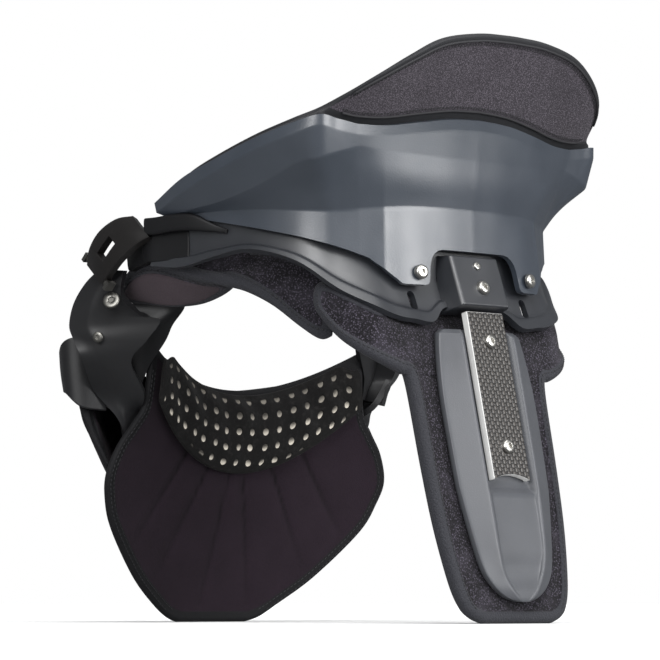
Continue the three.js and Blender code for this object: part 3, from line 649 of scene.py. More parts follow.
@dataclass(frozen=True)
class Moulding:
    """Moulded plastic with a fine grain, faint mottling and light rubbing."""

    name: str
    colour: Colour
    roughness: float = 0.42
    grain: float = 0.35
    depth: float = 0.02
    rubbing: float = 0.06
    gloss: float = 0.35

    def material(self) -> Material:
        """The finished material."""
        s = Shader(self.name)
        grain = s.noise(self.grain, 2)
        mottle = s.noise(18, 3)
        scuff = s.noise(1.2, 4, s.stretched((1.0, 1.0, 14.0))).step(0.62, 0.8)
        shade = s.shades(mottle, self.colour, 0.86, 1.16)
        flecked = s.mix(grain.step(0.62, 0.8) * 0.35, shade, tone(self.colour, 1.9))
        s.set(
            Base_Color=s.mix(scuff * self.rubbing * 3, flecked, tone(self.colour, 2.4)),
            Roughness=self.roughness + (mottle - 0.5) * 0.14 + scuff * self.rubbing,
            Normal=s.bump(grain, self.depth),
            Specular_IOR_Level=self.gloss,
        )
        return s.material


@dataclass(frozen=True)
class Carbon:
    """Plain-weave carbon under clear resin: tows over and under each other on the pattern's grid."""

    name: str
    tow: float = 2.03
    # dark is the fibres' own colour; light is the colour of the painted reflection on the tows.
    dark: Colour = (0.006, 0.0055, 0.0055)
    light: Colour = (0.062, 0.0565, 0.051)

    def material(self) -> Material:
        """The finished material: each cell's tow is a rounded bar along or across the strip, with a painted
        reflection on its crown.
        """
        s = Shader(self.name)
        across, along = (place / (self.tow * MM) for place in s.pattern())
        cell = across.floor() + along.floor() + 1000
        parity = cell.math("MODULO", cell, 2)
        x, y = ((place.fraction() - 0.5) * 2 for place in (across, along))
        warp = (1 - x * x) * (1 - 0.45 * y * y)
        weft = (1 - y * y) * (1 - 0.45 * x * x)
        height = warp * parity + weft * (1 - parity)
        fibre = s.noise(0.25, 2)
        # Painted reflection: the colour is lighter on each tow's crown and on the tows that run one way; the
        # fibre noise is texture.
        lit = height.step(0.15, 0.75) * (0.25 + 0.75 * parity) * (0.6 + 0.6 * fibre)
        s.set(
            Base_Color=s.mix(lit, self.dark, self.light),
            Roughness=0.42 - 0.12 * height,
            Normal=s.bump(height, 0.16),
            Coat_Weight=0.3,
            Coat_Roughness=0.18,
            Specular_IOR_Level=0.4,
        )
        return s.material


@dataclass(frozen=True)
class Plating:
    """Bright plated steel, a little hazed."""

    name: str
    colour: Colour = (0.52, 0.51, 0.48)
    roughness: float = 0.26

    def material(self) -> Material:
        """The finished material."""
        s = Shader(self.name)
        haze = s.noise(0.8, 3)
        s.set(
            Base_Color=s.shades(haze, self.colour, 0.82, 1.0),
            Roughness=self.roughness + haze * 0.12,
            Normal=s.bump(haze, 0.004),
            Metallic=1.0,
        )
        return s.material


@dataclass(frozen=True)
class LoopCloth:
    """Brushed loop fabric with painted glints on its loop tips and a smooth tape round its edge, told apart
    by the layer edge.
    """

    name: str
    pile: Colour = (0.006, 0.0052, 0.0078)
    # fleck is the colour of the painted glints on the loop tips, also used for worn patches.
    fleck: Colour = (0.088, 0.078, 0.105)
    tape: Colour = (0.0165, 0.017, 0.0215)
    tape_width: float = 6.0
    loop: float = 1.1

    def material(self) -> Material:
        """The finished material."""
        s = Shader(self.name)
        taped = s.taped(self.tape_width)
        tangle = s.noise(self.loop * 0.6, 4, rough=0.7)
        tips = (1 - s.cells(self.loop)) * 0.55 + tangle * 0.75
        # Painted glints: the loops' tips are painted in the light fleck colour, the pile between them dark.
        cloth = s.mix(tips.step(0.62, 1.08), tone(self.pile, 0.6), self.fleck)
        worn = s.mix(s.noise(14, 2).step(0.4, 0.75) * 0.15, cloth, self.fleck)
        rib = s.noise(0.45, 2)
        s.set(
            Base_Color=s.mix(taped, worn, s.shades(rib, self.tape, 0.75, 1.35)),
            Roughness=0.97 - 0.32 * taped,
            Normal=s.bump(rib * taped, 0.08, under=s.bump(tips, 0.55)),
            Sheen_Weight=0.04,
            Sheen_Roughness=0.6,
            Specular_IOR_Level=0.2,
        )
        return s.material


@dataclass(frozen=True)
class SmoothCloth:
    """Fine knitted facing on foam, with a tape along edges where the layer edge is small, and painted shade
    in its fold grooves.
    """

    name: str
    knit: Colour = (0.0102, 0.0063, 0.0098)
    tape: Colour = (0.0062, 0.0062, 0.007)
    tape_width: float = 5.6
    mesh: float = 0.5

    def material(self) -> Material:
        """The finished material."""
        s = Shader(self.name)
        taped = s.taped(self.tape_width)
        stitch = s.cells(self.mesh)
        lint = s.noise(1.3, 3).step(0.6, 0.8)
        fold = s.layer("fold").step(0.1, 1.0)
        cloth = s.shades(stitch, self.knit, 1.35, 0.7)
        cloth = s.mix(s.noise(22, 3).step(0.3, 0.75) * 0.4, cloth, tone(self.knit, 1.5))
        cloth = s.mix(lint * 0.18, cloth, tone(self.knit, 3.0))
        # Painted shade: the cloth is darkened along the fold grooves.
        cloth = s.mix(fold * 0.75, cloth, tone(self.knit, 0.2))
        rib = s.noise(0.45, 2)
        s.set(
            Base_Color=s.mix(taped, cloth, s.shades(rib, self.tape, 0.7, 1.4)),
            Roughness=0.88 - 0.2 * taped,
            Normal=s.bump(rib * taped, 0.08, under=s.bump(stitch, 0.06)),
            Sheen_Weight=0.012,
            Sheen_Roughness=0.5,
            Specular_IOR_Level=0.12,
        )
        return s.material


@dataclass(frozen=True)
class Heather:
    """Heathered facing of the helmet pad, with a smooth band near its edges by the layer edge."""

    name: str
    ground: Colour = (0.019, 0.016, 0.021)
    fleck: Colour = (0.125, 0.109, 0.132)
    band: Colour = (0.011, 0.0115, 0.0135)
    band_width: float = 6.0

    def material(self) -> Material:
        """The finished material."""
        s = Shader(self.name)
        banded = s.layer("edge").step(self.band_width + 0.25, self.band_width - 0.1)
        yarn = s.noise(0.7, 3, rough=0.65)
        lit = (yarn * 0.7 + (1 - s.cells(0.8)) * 0.3).step(0.4, 0.85)
        cloth = s.mix(lit, self.ground, self.fleck)
        cloth = s.mix(s.noise(26, 2).step(0.35, 0.8) * 0.35, cloth, tone(self.ground, 0.7))
        s.set(
            Base_Color=s.mix(banded, cloth, s.shades(s.noise(3, 2), self.band, 0.8, 1.25)),
            Roughness=0.92 - 0.34 * banded,
            Normal=s.bump(lit * (1 - banded), 0.18),
            Sheen_Weight=0.06,
            Specular_IOR_Level=0.25,
        )
        return s.material


@dataclass(frozen=True)
class Perforated:
    """Black lining pierced by rows of holes that show a pale layer below, with painted shade in the holes."""

    name: str
    ground: Colour = (0.0045, 0.0042, 0.0042)
    dust: Colour = (0.03, 0.028, 0.027)
    pale: Colour = (0.42, 0.385, 0.33)
    across: float = 9.7
    rise: float = 8.6
    hole: float = 1.8
    margin: float = 3.6

    def material(self) -> Material:
        """The finished material: the distance to the nearest centre of a square grid gives the holes."""
        s = Shader(self.name)
        u, v = s.pattern()
        row = v / (self.rise * MM)
        column = u / (self.across * MM) + 100
        dx = (column.fraction() - 0.5) * self.across
        dy = (row.fraction() - 0.5) * self.rise
        far = s.noise(9, 2) * 0.35 + (dx * dx + dy * dy * 0.85) ** 0.5
        inside = s.layer("edge").step(self.margin - 0.5, self.margin + 0.5)
        hole = far.step(self.hole + 0.28, self.hole - 0.02) * inside
        rim = far.step(self.hole + 0.9, self.hole)
        knit = s.cells(0.6)
        cloth = s.shades(knit, self.ground, 1.5, 0.6)
        dusty = s.mix(s.noise(2.5, 3).step(0.5, 0.8) * 0.3, cloth, self.dust)
        # Painted shade in each hole: the pale layer is darker toward the hole's top and lighter toward its
        # bottom, with broad noise.
        lit = (dy * (0.45 / self.hole) + s.noise(13, 2)).step(0.05, 0.95)
        below = s.shades(lit, self.pale, 0.1, 1.25)
        # Painted shade: the holes of the top rows are darker still.
        below = s.mix(row.step(3.4, 0.8) * 0.75, below, tone(self.pale, 0.08))
        s.set(
            Base_Color=s.mix(hole, dusty, below),
            Roughness=0.9 - 0.2 * hole,
            Normal=s.bump((1 - rim * inside) + knit * 0.1, 0.5),
            Sheen_Weight=0.03,
            Specular_IOR_Level=0.15,
        )
        return s.material


@dataclass(frozen=True)
class Thread:
    """Twisted sewing thread."""

    name: str
    colour: Colour = (0.014, 0.0138, 0.016)

    def material(self) -> Material:
        """The finished material."""
        s = Shader(self.name)
        twist = s.noise(0.3, 2)
        s.set(
            Base_Color=s.shades(twist, self.colour, 0.6, 1.5),
            Roughness=0.6 + twist * 0.2,
            Specular_IOR_Level=0.35,
        )
        return s.material


Finish = Moulding | Carbon | Plating | LoopCloth | SmoothCloth | Heather | Perforated | Thread


def made(finish: Finish) -> Any:
    """A dataclass field that holds a finish's material."""
    return field(default_factory=finish.material)


@dataclass
class Finishes:
    """Every finish of the brace, made once."""

    shell: Material = made(
        Moulding("satin_charcoal", (0.0245, 0.0305, 0.0405), 0.37, 0.85, 0.04, gloss=0.8)
    )
    base: Material = made(
        Moulding("satin_black_grey", (0.014, 0.0155, 0.019), 0.38, depth=0.03, gloss=0.8)
    )
    front: Material = made(Moulding("matte_dark_grey", (0.0085, 0.0086, 0.0095), 0.44, 0.4, 0.016))
    # The arms' near black is painted shade: it stands for the shadow under the shell's wings.
    arm: Material = made(
        Moulding("shaded_black", (0.0042, 0.0043, 0.005), depth=0.03, rubbing=0.04, gloss=0.3)
    )
    clip: Material = made(Moulding("clip_brown_grey", (0.0075, 0.0068, 0.0066), 0.36, 0.4, 0.014))
    plate: Material = made(Moulding("grained_grey", (0.053, 0.0555, 0.062), 0.4, 0.6, 0.05))
    weave: Material = made(Carbon("carbon_weave"))
    # Pale finish of the carbon strip's side faces: a painted highlight along its edges.
    core: Material = made(Moulding("cut_laminate_edge", (0.5, 0.5, 0.49), 0.35, 0.3, 0.01, 0.0))
    steel: Material = made(Plating("plated_steel"))
    loop: Material = made(LoopCloth("brushed_loop"))
    cloth: Material = made(SmoothCloth("smooth_cloth"))
    # The ovals' facing is partly a browner cloth and partly painted light: it is lighter than the flap's
    # cloth to stand for light on the ovals.
    facing: Material = made(SmoothCloth("brown_grey_facing", (0.034, 0.0265, 0.0305)))
    dull: Material = made(Plating("dull_steel", (0.2, 0.195, 0.18), 0.34))
    heather: Material = made(Heather("heathered_facing"))
    lining: Material = made(Perforated("perforated_lining"))
    thread: Material = made(Thread("sewing_thread"))


def dress(piece: Piece, finish: Material, body: Body, *nodes: str) -> None:
    """Gives a piece its finish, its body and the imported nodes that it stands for.

    Args:
        piece: The piece.
        finish: Its material.
        body: The body it rides on.
        nodes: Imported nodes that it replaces.
    """
    piece.data.materials.clear()
    piece.data.materials.append(finish)
    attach(piece, body.value)
    if nodes:
        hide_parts(*nodes)
    LOG.info("%s on %s", piece.name, body.value)


# Sewing


@dataclass(frozen=True)
class Padding:
    """How a sewn piece is stuffed: pressure, furthest move, free distance from a seam, and softness."""

    pressure: float
    cap: float
    free_from: float
    fill: float

    def stuff(self, piece: Piece, finish: Material, body: Body, node: str) -> None:
        """Swells, smooths and dresses a pad."""
        self.swell(piece)
        subdivide(piece)
        dress(piece, finish, body, node)

    def swell(self, piece: Piece) -> None:
        """Swells a pad as cloth under pressure, held where its layer edge says that a seam is near.

        The move of each point is shortened to cap times the hyperbolic tangent of its length over cap.
        """
        mesh = piece.data
        count = len(mesh.vertices)
        distance = np.empty(count, dtype=np.float32)
        mesh.attributes["edge"].data.foreach_get("value", distance)
        group = piece.vertex_groups.new(name="sewn")
        hold = np.round(1 - smoothstep(0.5 * self.free_from, self.free_from, distance), 1)
        for level in np.unique(hold):
            group.add(np.flatnonzero(hold == level).tolist(), float(level), "REPLACE")
        cloth = piece.modifiers.new("cloth", "CLOTH")
        cloth.settings.use_pressure = True
        cloth.settings.uniform_pressure_force = self.pressure
        cloth.settings.effector_weights.gravity = 0
        cloth.settings.vertex_group_mass = "sewn"
        cloth.settings.quality = 4
        cloth.settings.mass = 0.4
        cloth.settings.tension_stiffness = 12
        cloth.settings.compression_stiffness = 12
        cloth.settings.bending_stiffness = 0.8
        cloth.point_cache.frame_end = CLOTH_FRAMES
        scene = bpy.context.scene
        for number in range(1, CLOTH_FRAMES + 1):
            scene.frame_set(number)
        swollen = piece.evaluated_get(bpy.context.evaluated_depsgraph_get()).data
        before, after = np.empty(count * 3), np.empty(count * 3)
        mesh.vertices.foreach_get("co", before)
        swollen.vertices.foreach_get("co", after)
        move = (after - before).reshape(-1, 3)
        far = np.linalg.norm(move, axis=1, keepdims=True)
        limit = self.cap * MM
        move *= limit * np.tanh(far / limit) / np.maximum(far, 1e-9)
        piece.modifiers.remove(cloth)
        mesh.vertices.foreach_set("co", before + move.ravel())
        mesh.update()
        scene.frame_set(1)


@dataclass(frozen=True)
class Stitching:
    """A row of stitches: short spindles laid end to end, of a pitch, a length and a width."""

    pitch: float
    long: float
    wide: float
    sides: int = 6
    flatness: float = 0.7
    along: Numbers = (-0.5, -0.3, 0.3, 0.5)
    thick: Numbers = (0.35, 1.0, 1.0, 0.35)

    def sew(self, name: str, path: Array, normal: Array, finish: Material, body: Body) -> None:
        """Sews a row: each spindle is a ring of points carried along the tangent, thin at its ends.

        Args:
            name: Name of the piece.
            path: Points of the seam.
            normal: The cloth's normal at each of them.
            finish: The thread.
            body: The body it rides on.
        """
        path, normal = even_path(path, self.pitch, normal)
        tangent = unit(np.gradient(path, axis=0))
        side = unit(np.cross(tangent, normal))
        angle = angles(self.sides)
        ring = np.stack([np.cos(angle), self.flatness * np.sin(angle)], axis=-1)
        local = (np.array(self.thick) * self.wide / 2)[:, None, None] * ring[None]
        points = (
            path[:, None, None]
            + tangent[:, None, None] * (np.array(self.along) * self.long)[None, :, None, None]
            + side[:, None, None] * local[None, :, :, :1]
            + unit(normal)[:, None, None] * local[None, :, :, 1:]
        )
        size = len(self.along) * self.sides
        first = (np.arange(len(path)) * size)[:, None, None]
        around = quads(len(self.along), self.sides, wrap=True)[None] + first
        ends = np.arange(size).reshape(-1, self.sides)[[0, -1]][None] + first
        faces = around.reshape(-1, 4).tolist() + ends.reshape(-1, self.sides).tolist()
        dress(add_mesh(name, points, faces), finish, body)


@dataclass(frozen=True)
class SideSeams:
    """Stitches down both sides of a bound face, at distances from its edge, named by side and row."""

    stem: str
    words: tuple[str, str]
    insets: tuple[tuple[str, float], ...]
    rows: slice
    stitching: Stitching = Stitching(2.6, 1.8, 0.55)

    def build(self, face: Array, edge: Array, finish: Material, body: Body) -> None:
        """Sews the rows.

        Args:
            face: Points of the face, rows by columns by 3.
            edge: Distance of each to the face's edge.
            finish: The thread.
            body: The body it rides on.
        """
        middle = face.shape[1] // 2
        sheets = face, rear_normals(face), edge
        for word, part in zip(self.words, (slice(0, middle), slice(None, middle, -1))):
            for number, inset in self.insets:
                path, up = contour(*(sheet[self.rows, part] for sheet in sheets), inset)
                name = f"{self.stem}_{word}{number}"
                self.stitching.sew(name, path + up * SEAM_LIFT, up, finish, body)


# Rear half

SHELL = np.array(
    [
        [[0, 105.5, 212.5], [0, 109.3, 238], [0, 111, 253.5], [0, 111.5, 258.7]],
        [[20, 104.4, 212.5], [21.5, 108.6, 238], [21, 110.6, 252.5], [21, 111, 257.6]],
        [[40, 101, 212], [43, 106.2, 238.5], [42, 108.2, 249.5], [42, 108.5, 254.6]],
        [[56, 96.8, 211], [62, 103, 239.5], [62, 104.3, 246.5], [62, 104.5, 251.6]],
        [[68, 90, 210], [77, 100, 240.5], [79, 101, 246], [79, 101.2, 251.3]],
        [[75, 85, 209], [88, 98.3, 237], [92, 100, 247.5], [92, 100.2, 253]],
        [[82, 79.6, 209], [100, 94.5, 233], [103, 97.5, 249], [104, 98.5, 254.5]],
        [[90, 69, 209.5], [105, 84, 231], [111, 84, 244.5], [112, 84, 250.3]],
        [[97, 52, 210.5], [108, 60, 222], [116.5, 62, 237.5], [117.5, 62, 244]],
        [[102, 32, 211], [109.5, 34, 215.5], [118.5, 34, 228], [120, 34, 235.2]],
        [[105.5, 12, 210.8], [110.5, 12, 212.6], [117.5, 10, 220], [119, 10, 228]],
        [[108, -6, 209.4], [110, -9, 210.2], [112.2, -14, 212.3], [113.5, -15.5, 217.5]],
    ],
    dtype=float,
)
CORNER_STATION = 3
CREASE_STATION = 4


@dataclass
class RearShell:
    """Cupped shell with wings, an arch and two tabs at its lower edge."""

    finishes: Finishes
    wall: float = 3.0
    edge: float = 0.9
    steps: int = 10
    swell: Numbers = (0.05, 0.05, 0.05, 0.04, 0.02, -0.08, -0.1, -0.09, -0.07, -0.04, 0, 0)
    lean: Numbers = (-1, -1, -1, -1, -0.5, 0.4, 1.4, 2.2, 2.6, 2.6, 2.2, 1)
    tab_foot: float = 172.0
    foot_height: Numbers = (191, 191, 188, 183, 187, 190, 192.5, 196, 200, 204, 207.4, 208.6)
    foot_out: Numbers = (2, 3.2, 6.6, 4.4, 2.4, 2, 1.6, 1.2, 0.8, 0.6, 0.4, 0.2)
    lower_edge: Table = (
        (0, 22, 25.5, 28, 29.6, 30.7, 31.5, 31.9, 32.8, 34.6, 45.4, 47.3, 48.4, 49.2, 51, 62),
        (191, 191, 190.2, 188.4, 186.2, 183, 176, 173.8, 172.5, 172, 172, 172.4, 173.2, 174, 175.4, 184),
    )
    tabs_between: Pair = (19.0, 65.0)
    bends: Numbers = (0.07, 0.5, 0.08, 0.1)
    tab_steps: tuple[tuple[float, float, int], ...] = (
        (20, 29, 14), (29.3, 35, 28), (36, 45, 8), (45.4, 51, 20), (52, 64, 13),
    )

    def stations(self) -> Array:
        """Stations to read: an even set, and a finer one where the tabs need it."""
        end = len(SHELL) - 1
        even = np.linspace(0, end, end * self.steps + 1)
        reach = curve(SHELL[:, 0, 0], even, (CREASE_STATION,))
        fine = np.concatenate([np.linspace(a, b, n) for a, b, n in self.tab_steps])
        first, last = self.tabs_between
        coarse = even[(reach < first) | (reach > last)]
        return np.sort(np.concatenate([coarse, np.interp(fine, reach, even)]))

    def rows(self, at: Array) -> Array:
        """Control rows at stations: lower edge, band, bell, mid line, rim's lower and upper edge."""
        mid, low, rim = np.moveaxis(curve(SHELL[:, 1:], at, (CREASE_STATION,)), 1, 0)
        band = curve(SHELL[:, 0], at, (CORNER_STATION, CREASE_STATION))
        outward = unit((band - NECK_MIDDLE) * LEVEL)
        height = curve(self.foot_height, at)
        edge_x, edge_z = self.lower_edge
        height = np.where(band[:, 0] < edge_x[-1], np.interp(band[:, 0], edge_x, edge_z), height)
        share = (band[:, 2] - height) / (band[:, 2] - self.tab_foot)
        foot = band + outward * (curve(self.foot_out, at) * share)[:, None]
        foot[:, 2] = height
        swell = curve(self.swell, at, (CREASE_STATION,))
        bell = (band + mid) / 2 + outward * (swell * np.linalg.norm(mid - band, axis=1))[:, None]
        rim = rim - outward * curve(self.lean, at)[:, None]
        return np.stack([foot, band, bell, mid, low, rim], axis=1)

    def build(self) -> None:
        """Builds the wall from its control rows, each bend rounded to its own share."""
        half = filleted(self.rows(self.stations()), self.bends)
        piece = add_grid("shell_wall", whole(half))
        thicken(piece, self.wall, self.edge)
        dress(piece, self.finishes.shell, Body.REAR, "rear_shell")


@dataclass
class HelmetPad:
    """Foam pad that lines the shell's cup and rises behind it into a leaning crest."""

    finishes: Finishes
    wall: float = 3.0
    gap: float = 0.9
    steps: int = 8
    band: float = 6.0
    spare: float = 2.2
    crest: Table = (
        (0, 134, 299), (22, 133.5, 298), (46, 131, 293.5), (64, 126.5, 284), (78, 118.5, 274),
        (88, 106.5, 265), (96, 92.5, 257.5), (105, 81, 252.3), (111, 60, 245.8), (113.5, 33, 237),
        (112.5, 11, 229.5), (108, -9, 220),
    )
    top: Numbers = (10, 10, 10, 10, 10, 10, 9, 9, 9, 9, 8, 6)
    hang: Numbers = (4.5, 4.5, 4.5, 4.5, 4, 2.5, 0.5, 0, 0, 0, 0, 0)
    foot: Numbers = (14, 14, 14, 13.5, 13, 12.5, 12, 11.5, 11, 10, 8, 6)
    bends: Numbers = (0.25, 0.12, 0.35, 0.5, 0.35, 0.3, 0.3)
    runs: tuple[int, ...] = (2, 12, 1, 1, 10, 4, 2)
    spare_from: Pair = (244.0, 262.0)
    crest_drop: float = 2.4
    low_lift: float = 3.0
    lip_lift: float = 0.8
    lip_below: float = 3.6
    heel_drop: float = 2.0
    piping_lift: float = 0.3
    rim_shift: float = 1.5
    piping: float = 0.7
    panel_stations: float = 4.75
    seams: Pair = (1.6, 2.4)
    padding: Padding = Padding(3.0, 2.5, 14.0, 0.8)
    stitching: Stitching = Stitching(2.0, 1.5, 0.5)

    def sections(self) -> Array:
        """Whole columns of section points: low, lip, crest's outer edge, crest, brow, belly and heel."""
        peak = dense(self.crest, self.steps)
        sideways = np.sign(peak[:, :1]) * np.array([self.spare, 0.0, 0.0])
        peak = peak + sideways * smoothstep(*self.spare_from, peak[:, 2:3]) + UP * self.spare
        top, hang, foot = (dense(v, self.steps)[:, None] for v in (self.top, self.hang, self.foot))
        cup = whole(dense(SHELL[:, 1:], self.steps))
        inner = cup + grid_normals(cup) * (self.wall + self.gap)
        lining = inner[len(peak) - 1 :]
        along = unit(np.gradient(peak, axis=0) * LEVEL)
        along[0] = (1.0, 0.0, 0.0)
        inward = np.stack([along[:, 1], -along[:, 0], np.zeros(len(along))], axis=1)
        low = lining[:, 0] + self.low_lift * UP
        lip = lining[:, 2].copy()
        lip[:, 2] = np.minimum(lip[:, 2] + self.lip_lift, peak[:, 2] - self.lip_below)
        edge = peak - inward * hang - self.crest_drop * UP
        brow = peak + inward * (top - hang) - self.crest_drop * UP
        belly = lip + inward * foot
        heel = low + inward * foot - self.heel_drop * UP
        return whole(np.stack([low, lip, edge, peak, brow, belly, heel], axis=1))

    def build(self) -> None:
        """Builds the pad, its piping and its stitches."""
        shape, lip_row = filleted_loop(self.sections(), self.bends, BEND_STEPS, self.runs)
        run = ring_run(shape)
        crest_row = int(np.argmax(shape[len(shape) // 2, :, 2]))
        from_crest, from_lip = (np.abs(run - run[:, k : k + 1]) for k in (crest_row, lip_row))
        edge = np.minimum(from_crest, from_lip + self.rim_shift)
        piece = add_tube("helmet_pad_foam", shape, layers={"edge": edge})
        self.padding.stuff(piece, self.finishes.heather, Body.REAR, "helmet_pad")
        panel = slice(lip_row, crest_row + 1)
        self.pipe(shape[:, panel], from_crest[:, panel], from_lip[:, panel])

    def pipe(self, back: Array, from_crest: Array, from_lip: Array) -> None:
        """Adds the piping along the edges of the back face's panel and the stitches beside it.

        Args:
            back: The part of the pad's rings from the shell's rim up to the crest.
            from_crest: Distance of its points from the crest, round each ring.
            from_lip: Distance of its points from the shell's rim.
        """
        middle, reach = len(back) // 2, int(self.panel_stations * self.steps)
        columns = slice(middle - reach, middle + reach + 1)
        normal = rear_normals(back)
        down = [v[columns][:, ::-1] for v in (back, normal, from_crest)]
        up = [v[columns] for v in (back, normal, from_lip)]
        thread = self.finishes.thread
        for name, sheet, inset in (("crest", down, self.band), ("rim", up, self.band - self.rim_shift)):
            path, way = contour(*sheet, inset)
            path = path + way * self.piping_lift
            dress(add_piping(f"helmet_pad_piping_{name}", path, way, self.piping), thread, Body.REAR)
            for k, shift in enumerate(self.seams):
                path, way = contour(*sheet, inset + shift)
                row = f"helmet_pad_stitches_{name}_{k}"
                self.stitching.sew(row, path + way * SEAM_LIFT, way, thread, Body.REAR)


@dataclass
class RearBase:
    """U-shaped base wall with its outer lip, boss and two adjusting slots."""

    finishes: Finishes
    wall: float = 3.6
    edge: float = 0.7
    steps: int = 10
    lip: Table = (
        (0, 106, 162), (21, 106.2, 161.5), (33, 110, 153.5), (46, 109.3, 154.2), (56, 107.5, 155.4),
        (68, 103, 160), (80, 89, 168.6), (92.5, 70, 183.5), (101, 44, 190.5), (104.5, 20, 187.5),
        (108, 0, 183.5), (112, -19, 185),
    )
    top: Table = (
        (0, 98, 177), (20, 98, 177), (35, 97.8, 177), (46, 96.2, 178.5), (54.3, 93.5, 182),
        (63, 88.7, 186), (74, 79.8, 191.3), (86, 68, 196.8), (94.5, 46, 201.2), (101, 22, 204.6),
        (106, 2, 206), (110, -13, 207),
    )
    rise: Numbers = (18, 18, 18, 12, 3, 1, 1, 1, 1.5, 2.4, 3, 3)
    slot: Point = (41.5, 102.6, 164)
    slot_size: Pair = (5.0, 11.0)
    slot_tilt: float = 0.5
    slot_reach: float = 14.0
    shelf_share: float = 0.25
    shelf_in: float = 2.3
    lip_share: float = 0.15
    bends: Numbers = (0.3, 0.25, 0.4, 0.3)
    boss_half: float = 16.6
    boss_top: Pair = (106.4, 188.6)
    boss_bottom: Pair = (115.7, 163)
    boss_flare: float = 1.06
    boss_edge: Pair = (1.2, 0.9)
    boss_round: Pair = (0.9, 25.0)
    root_halves: Pair = (19.5, 20.5)
    root_top: Pair = (96.6, 188.6)
    root_bottom: Pair = (101.3, 158)

    def build(self) -> None:
        """Builds the wall with its slots, then the boss."""
        low = dense(self.lip, self.steps)
        high = dense(self.top, self.steps)
        rise = dense(self.rise, self.steps)
        shelf = low + (high - low) * self.shelf_share
        lip_top = shelf + (low - shelf) * self.lip_share
        shelf = shelf + unit((NECK_MIDDLE - low) * LEVEL) * self.shelf_in
        crown = high + rise[:, None] * UP
        rows = np.stack([low, lip_top, shelf, (shelf + high) / 2, high, crown], axis=1)
        piece = add_grid("base_wall", whole(filleted(rows, self.bends)))
        add_wall(piece, self.wall, even=False)
        carve(piece, self.cutter(Side.LEFT), self.cutter(Side.RIGHT))
        round_edges(piece, self.edge)
        dress(piece, self.finishes.base, Body.REAR, "rear_base")
        self.boss()

    def cutter(self, side: Side) -> Piece:
        """A rod of stadium section, square to the wall, for one slot."""
        wide, tall = self.slot_size
        angle = angles(32)
        x = np.cos(angle) * wide / 2
        y = np.sin(angle) * wide / 2 + np.sign(np.sin(angle)) * (tall - wide) / 2
        depth = np.array([-self.slot_reach, self.slot_reach])[:, None]
        way = np.array([0.0, math.cos(self.slot_tilt), math.sin(self.slot_tilt)])
        up = np.array([0.0, -math.sin(self.slot_tilt), math.cos(self.slot_tilt)])
        middle = side.flip * self.slot
        ring = x[None, :, None] * np.array([1.0, 0.0, 0.0]) + y[None, :, None] * up
        return add_tube(f"slot_cutter_{side.word}", middle + ring + depth[:, :, None] * way)

    def boss(self) -> None:
        """The block in the middle that carries the strip: a face, its rounded edge and a spreading root."""
        face = self.corners((self.boss_half, self.boss_half), self.boss_top, self.boss_bottom)
        back, down = self.boss_edge
        edge = face * np.array([self.boss_flare, 1.0, 1.0]) - np.array([0.0, back, 0.0])
        edge[2:, 2] -= down
        root = self.corners(self.root_halves, self.root_top, self.root_bottom)
        piece = add_tube("base_boss", np.stack([face, edge, root]))
        round_edges(piece, *self.boss_round)
        dress(piece, self.finishes.base, Body.REAR)

    def corners(self, halves: Numbers, top: Numbers, bottom: Numbers) -> Array:
        """Corners of an upright face, from its half widths and its edges' places in Y and Z."""
        upper, lower = halves
        return np.array([[-upper, *top], [upper, *top], [lower, *bottom], [-lower, *bottom]])


@dataclass
class Screw:
    """A round screw head with a hexagonal socket, turned about its own axis."""

    name: str
    node: str
    at: Point
    faces: Point
    radius: float = 3.8
    height: float = 2.2
    socket: float = 1.45
    depth: float = 1.3
    sides: int = 48
    sunk: float = 0.6
    middle: float = 0.02
    clocking: Point = (0.31, 0.17, 0.93)

    def build(self, finish: Material, body: Body) -> None:
        """Builds the head as rings about its axis: hexagonal in the socket, round outside it."""
        angle = angles(self.sides)
        hexagon = math.cos(math.pi / 6) / np.cos((angle + math.pi / 6) % (math.pi / 3) - math.pi / 6)
        r, h, s = self.radius, self.height, self.socket
        profile = np.array(
            [
                (self.middle, h - self.depth, 1),
                (s * 0.96, h - self.depth, 1),
                (s, h - self.depth + 0.1, 1),
                (s, h - 0.12, 1),
                (s * 1.08, h, 1),
                (r * 0.62, h * 0.985, 0),
                (r * 0.8, h * 0.86, 0),
                (r * 0.92, h * 0.66, 0),
                (r * 0.98, h * 0.42, 0),
                (r, h * 0.2, 0),
                (r, -self.sunk, 0),
                (self.middle, -self.sunk, 0),
            ]
        )
        reach, level, six = profile.T[:, :, None]
        rings = lathe(reach * np.where(six > 0, hexagon, 1.0), level, angle)
        way = unit(np.array(self.faces, dtype=float))
        side = unit(np.cross(way, np.array(self.clocking)))
        basis = np.stack([side, np.cross(way, side), way])
        piece = add_tube(self.name, rings @ basis + np.array(self.at))
        round_edges(piece, 0.08, 50.0)
        dress(piece, finish, body, self.node)


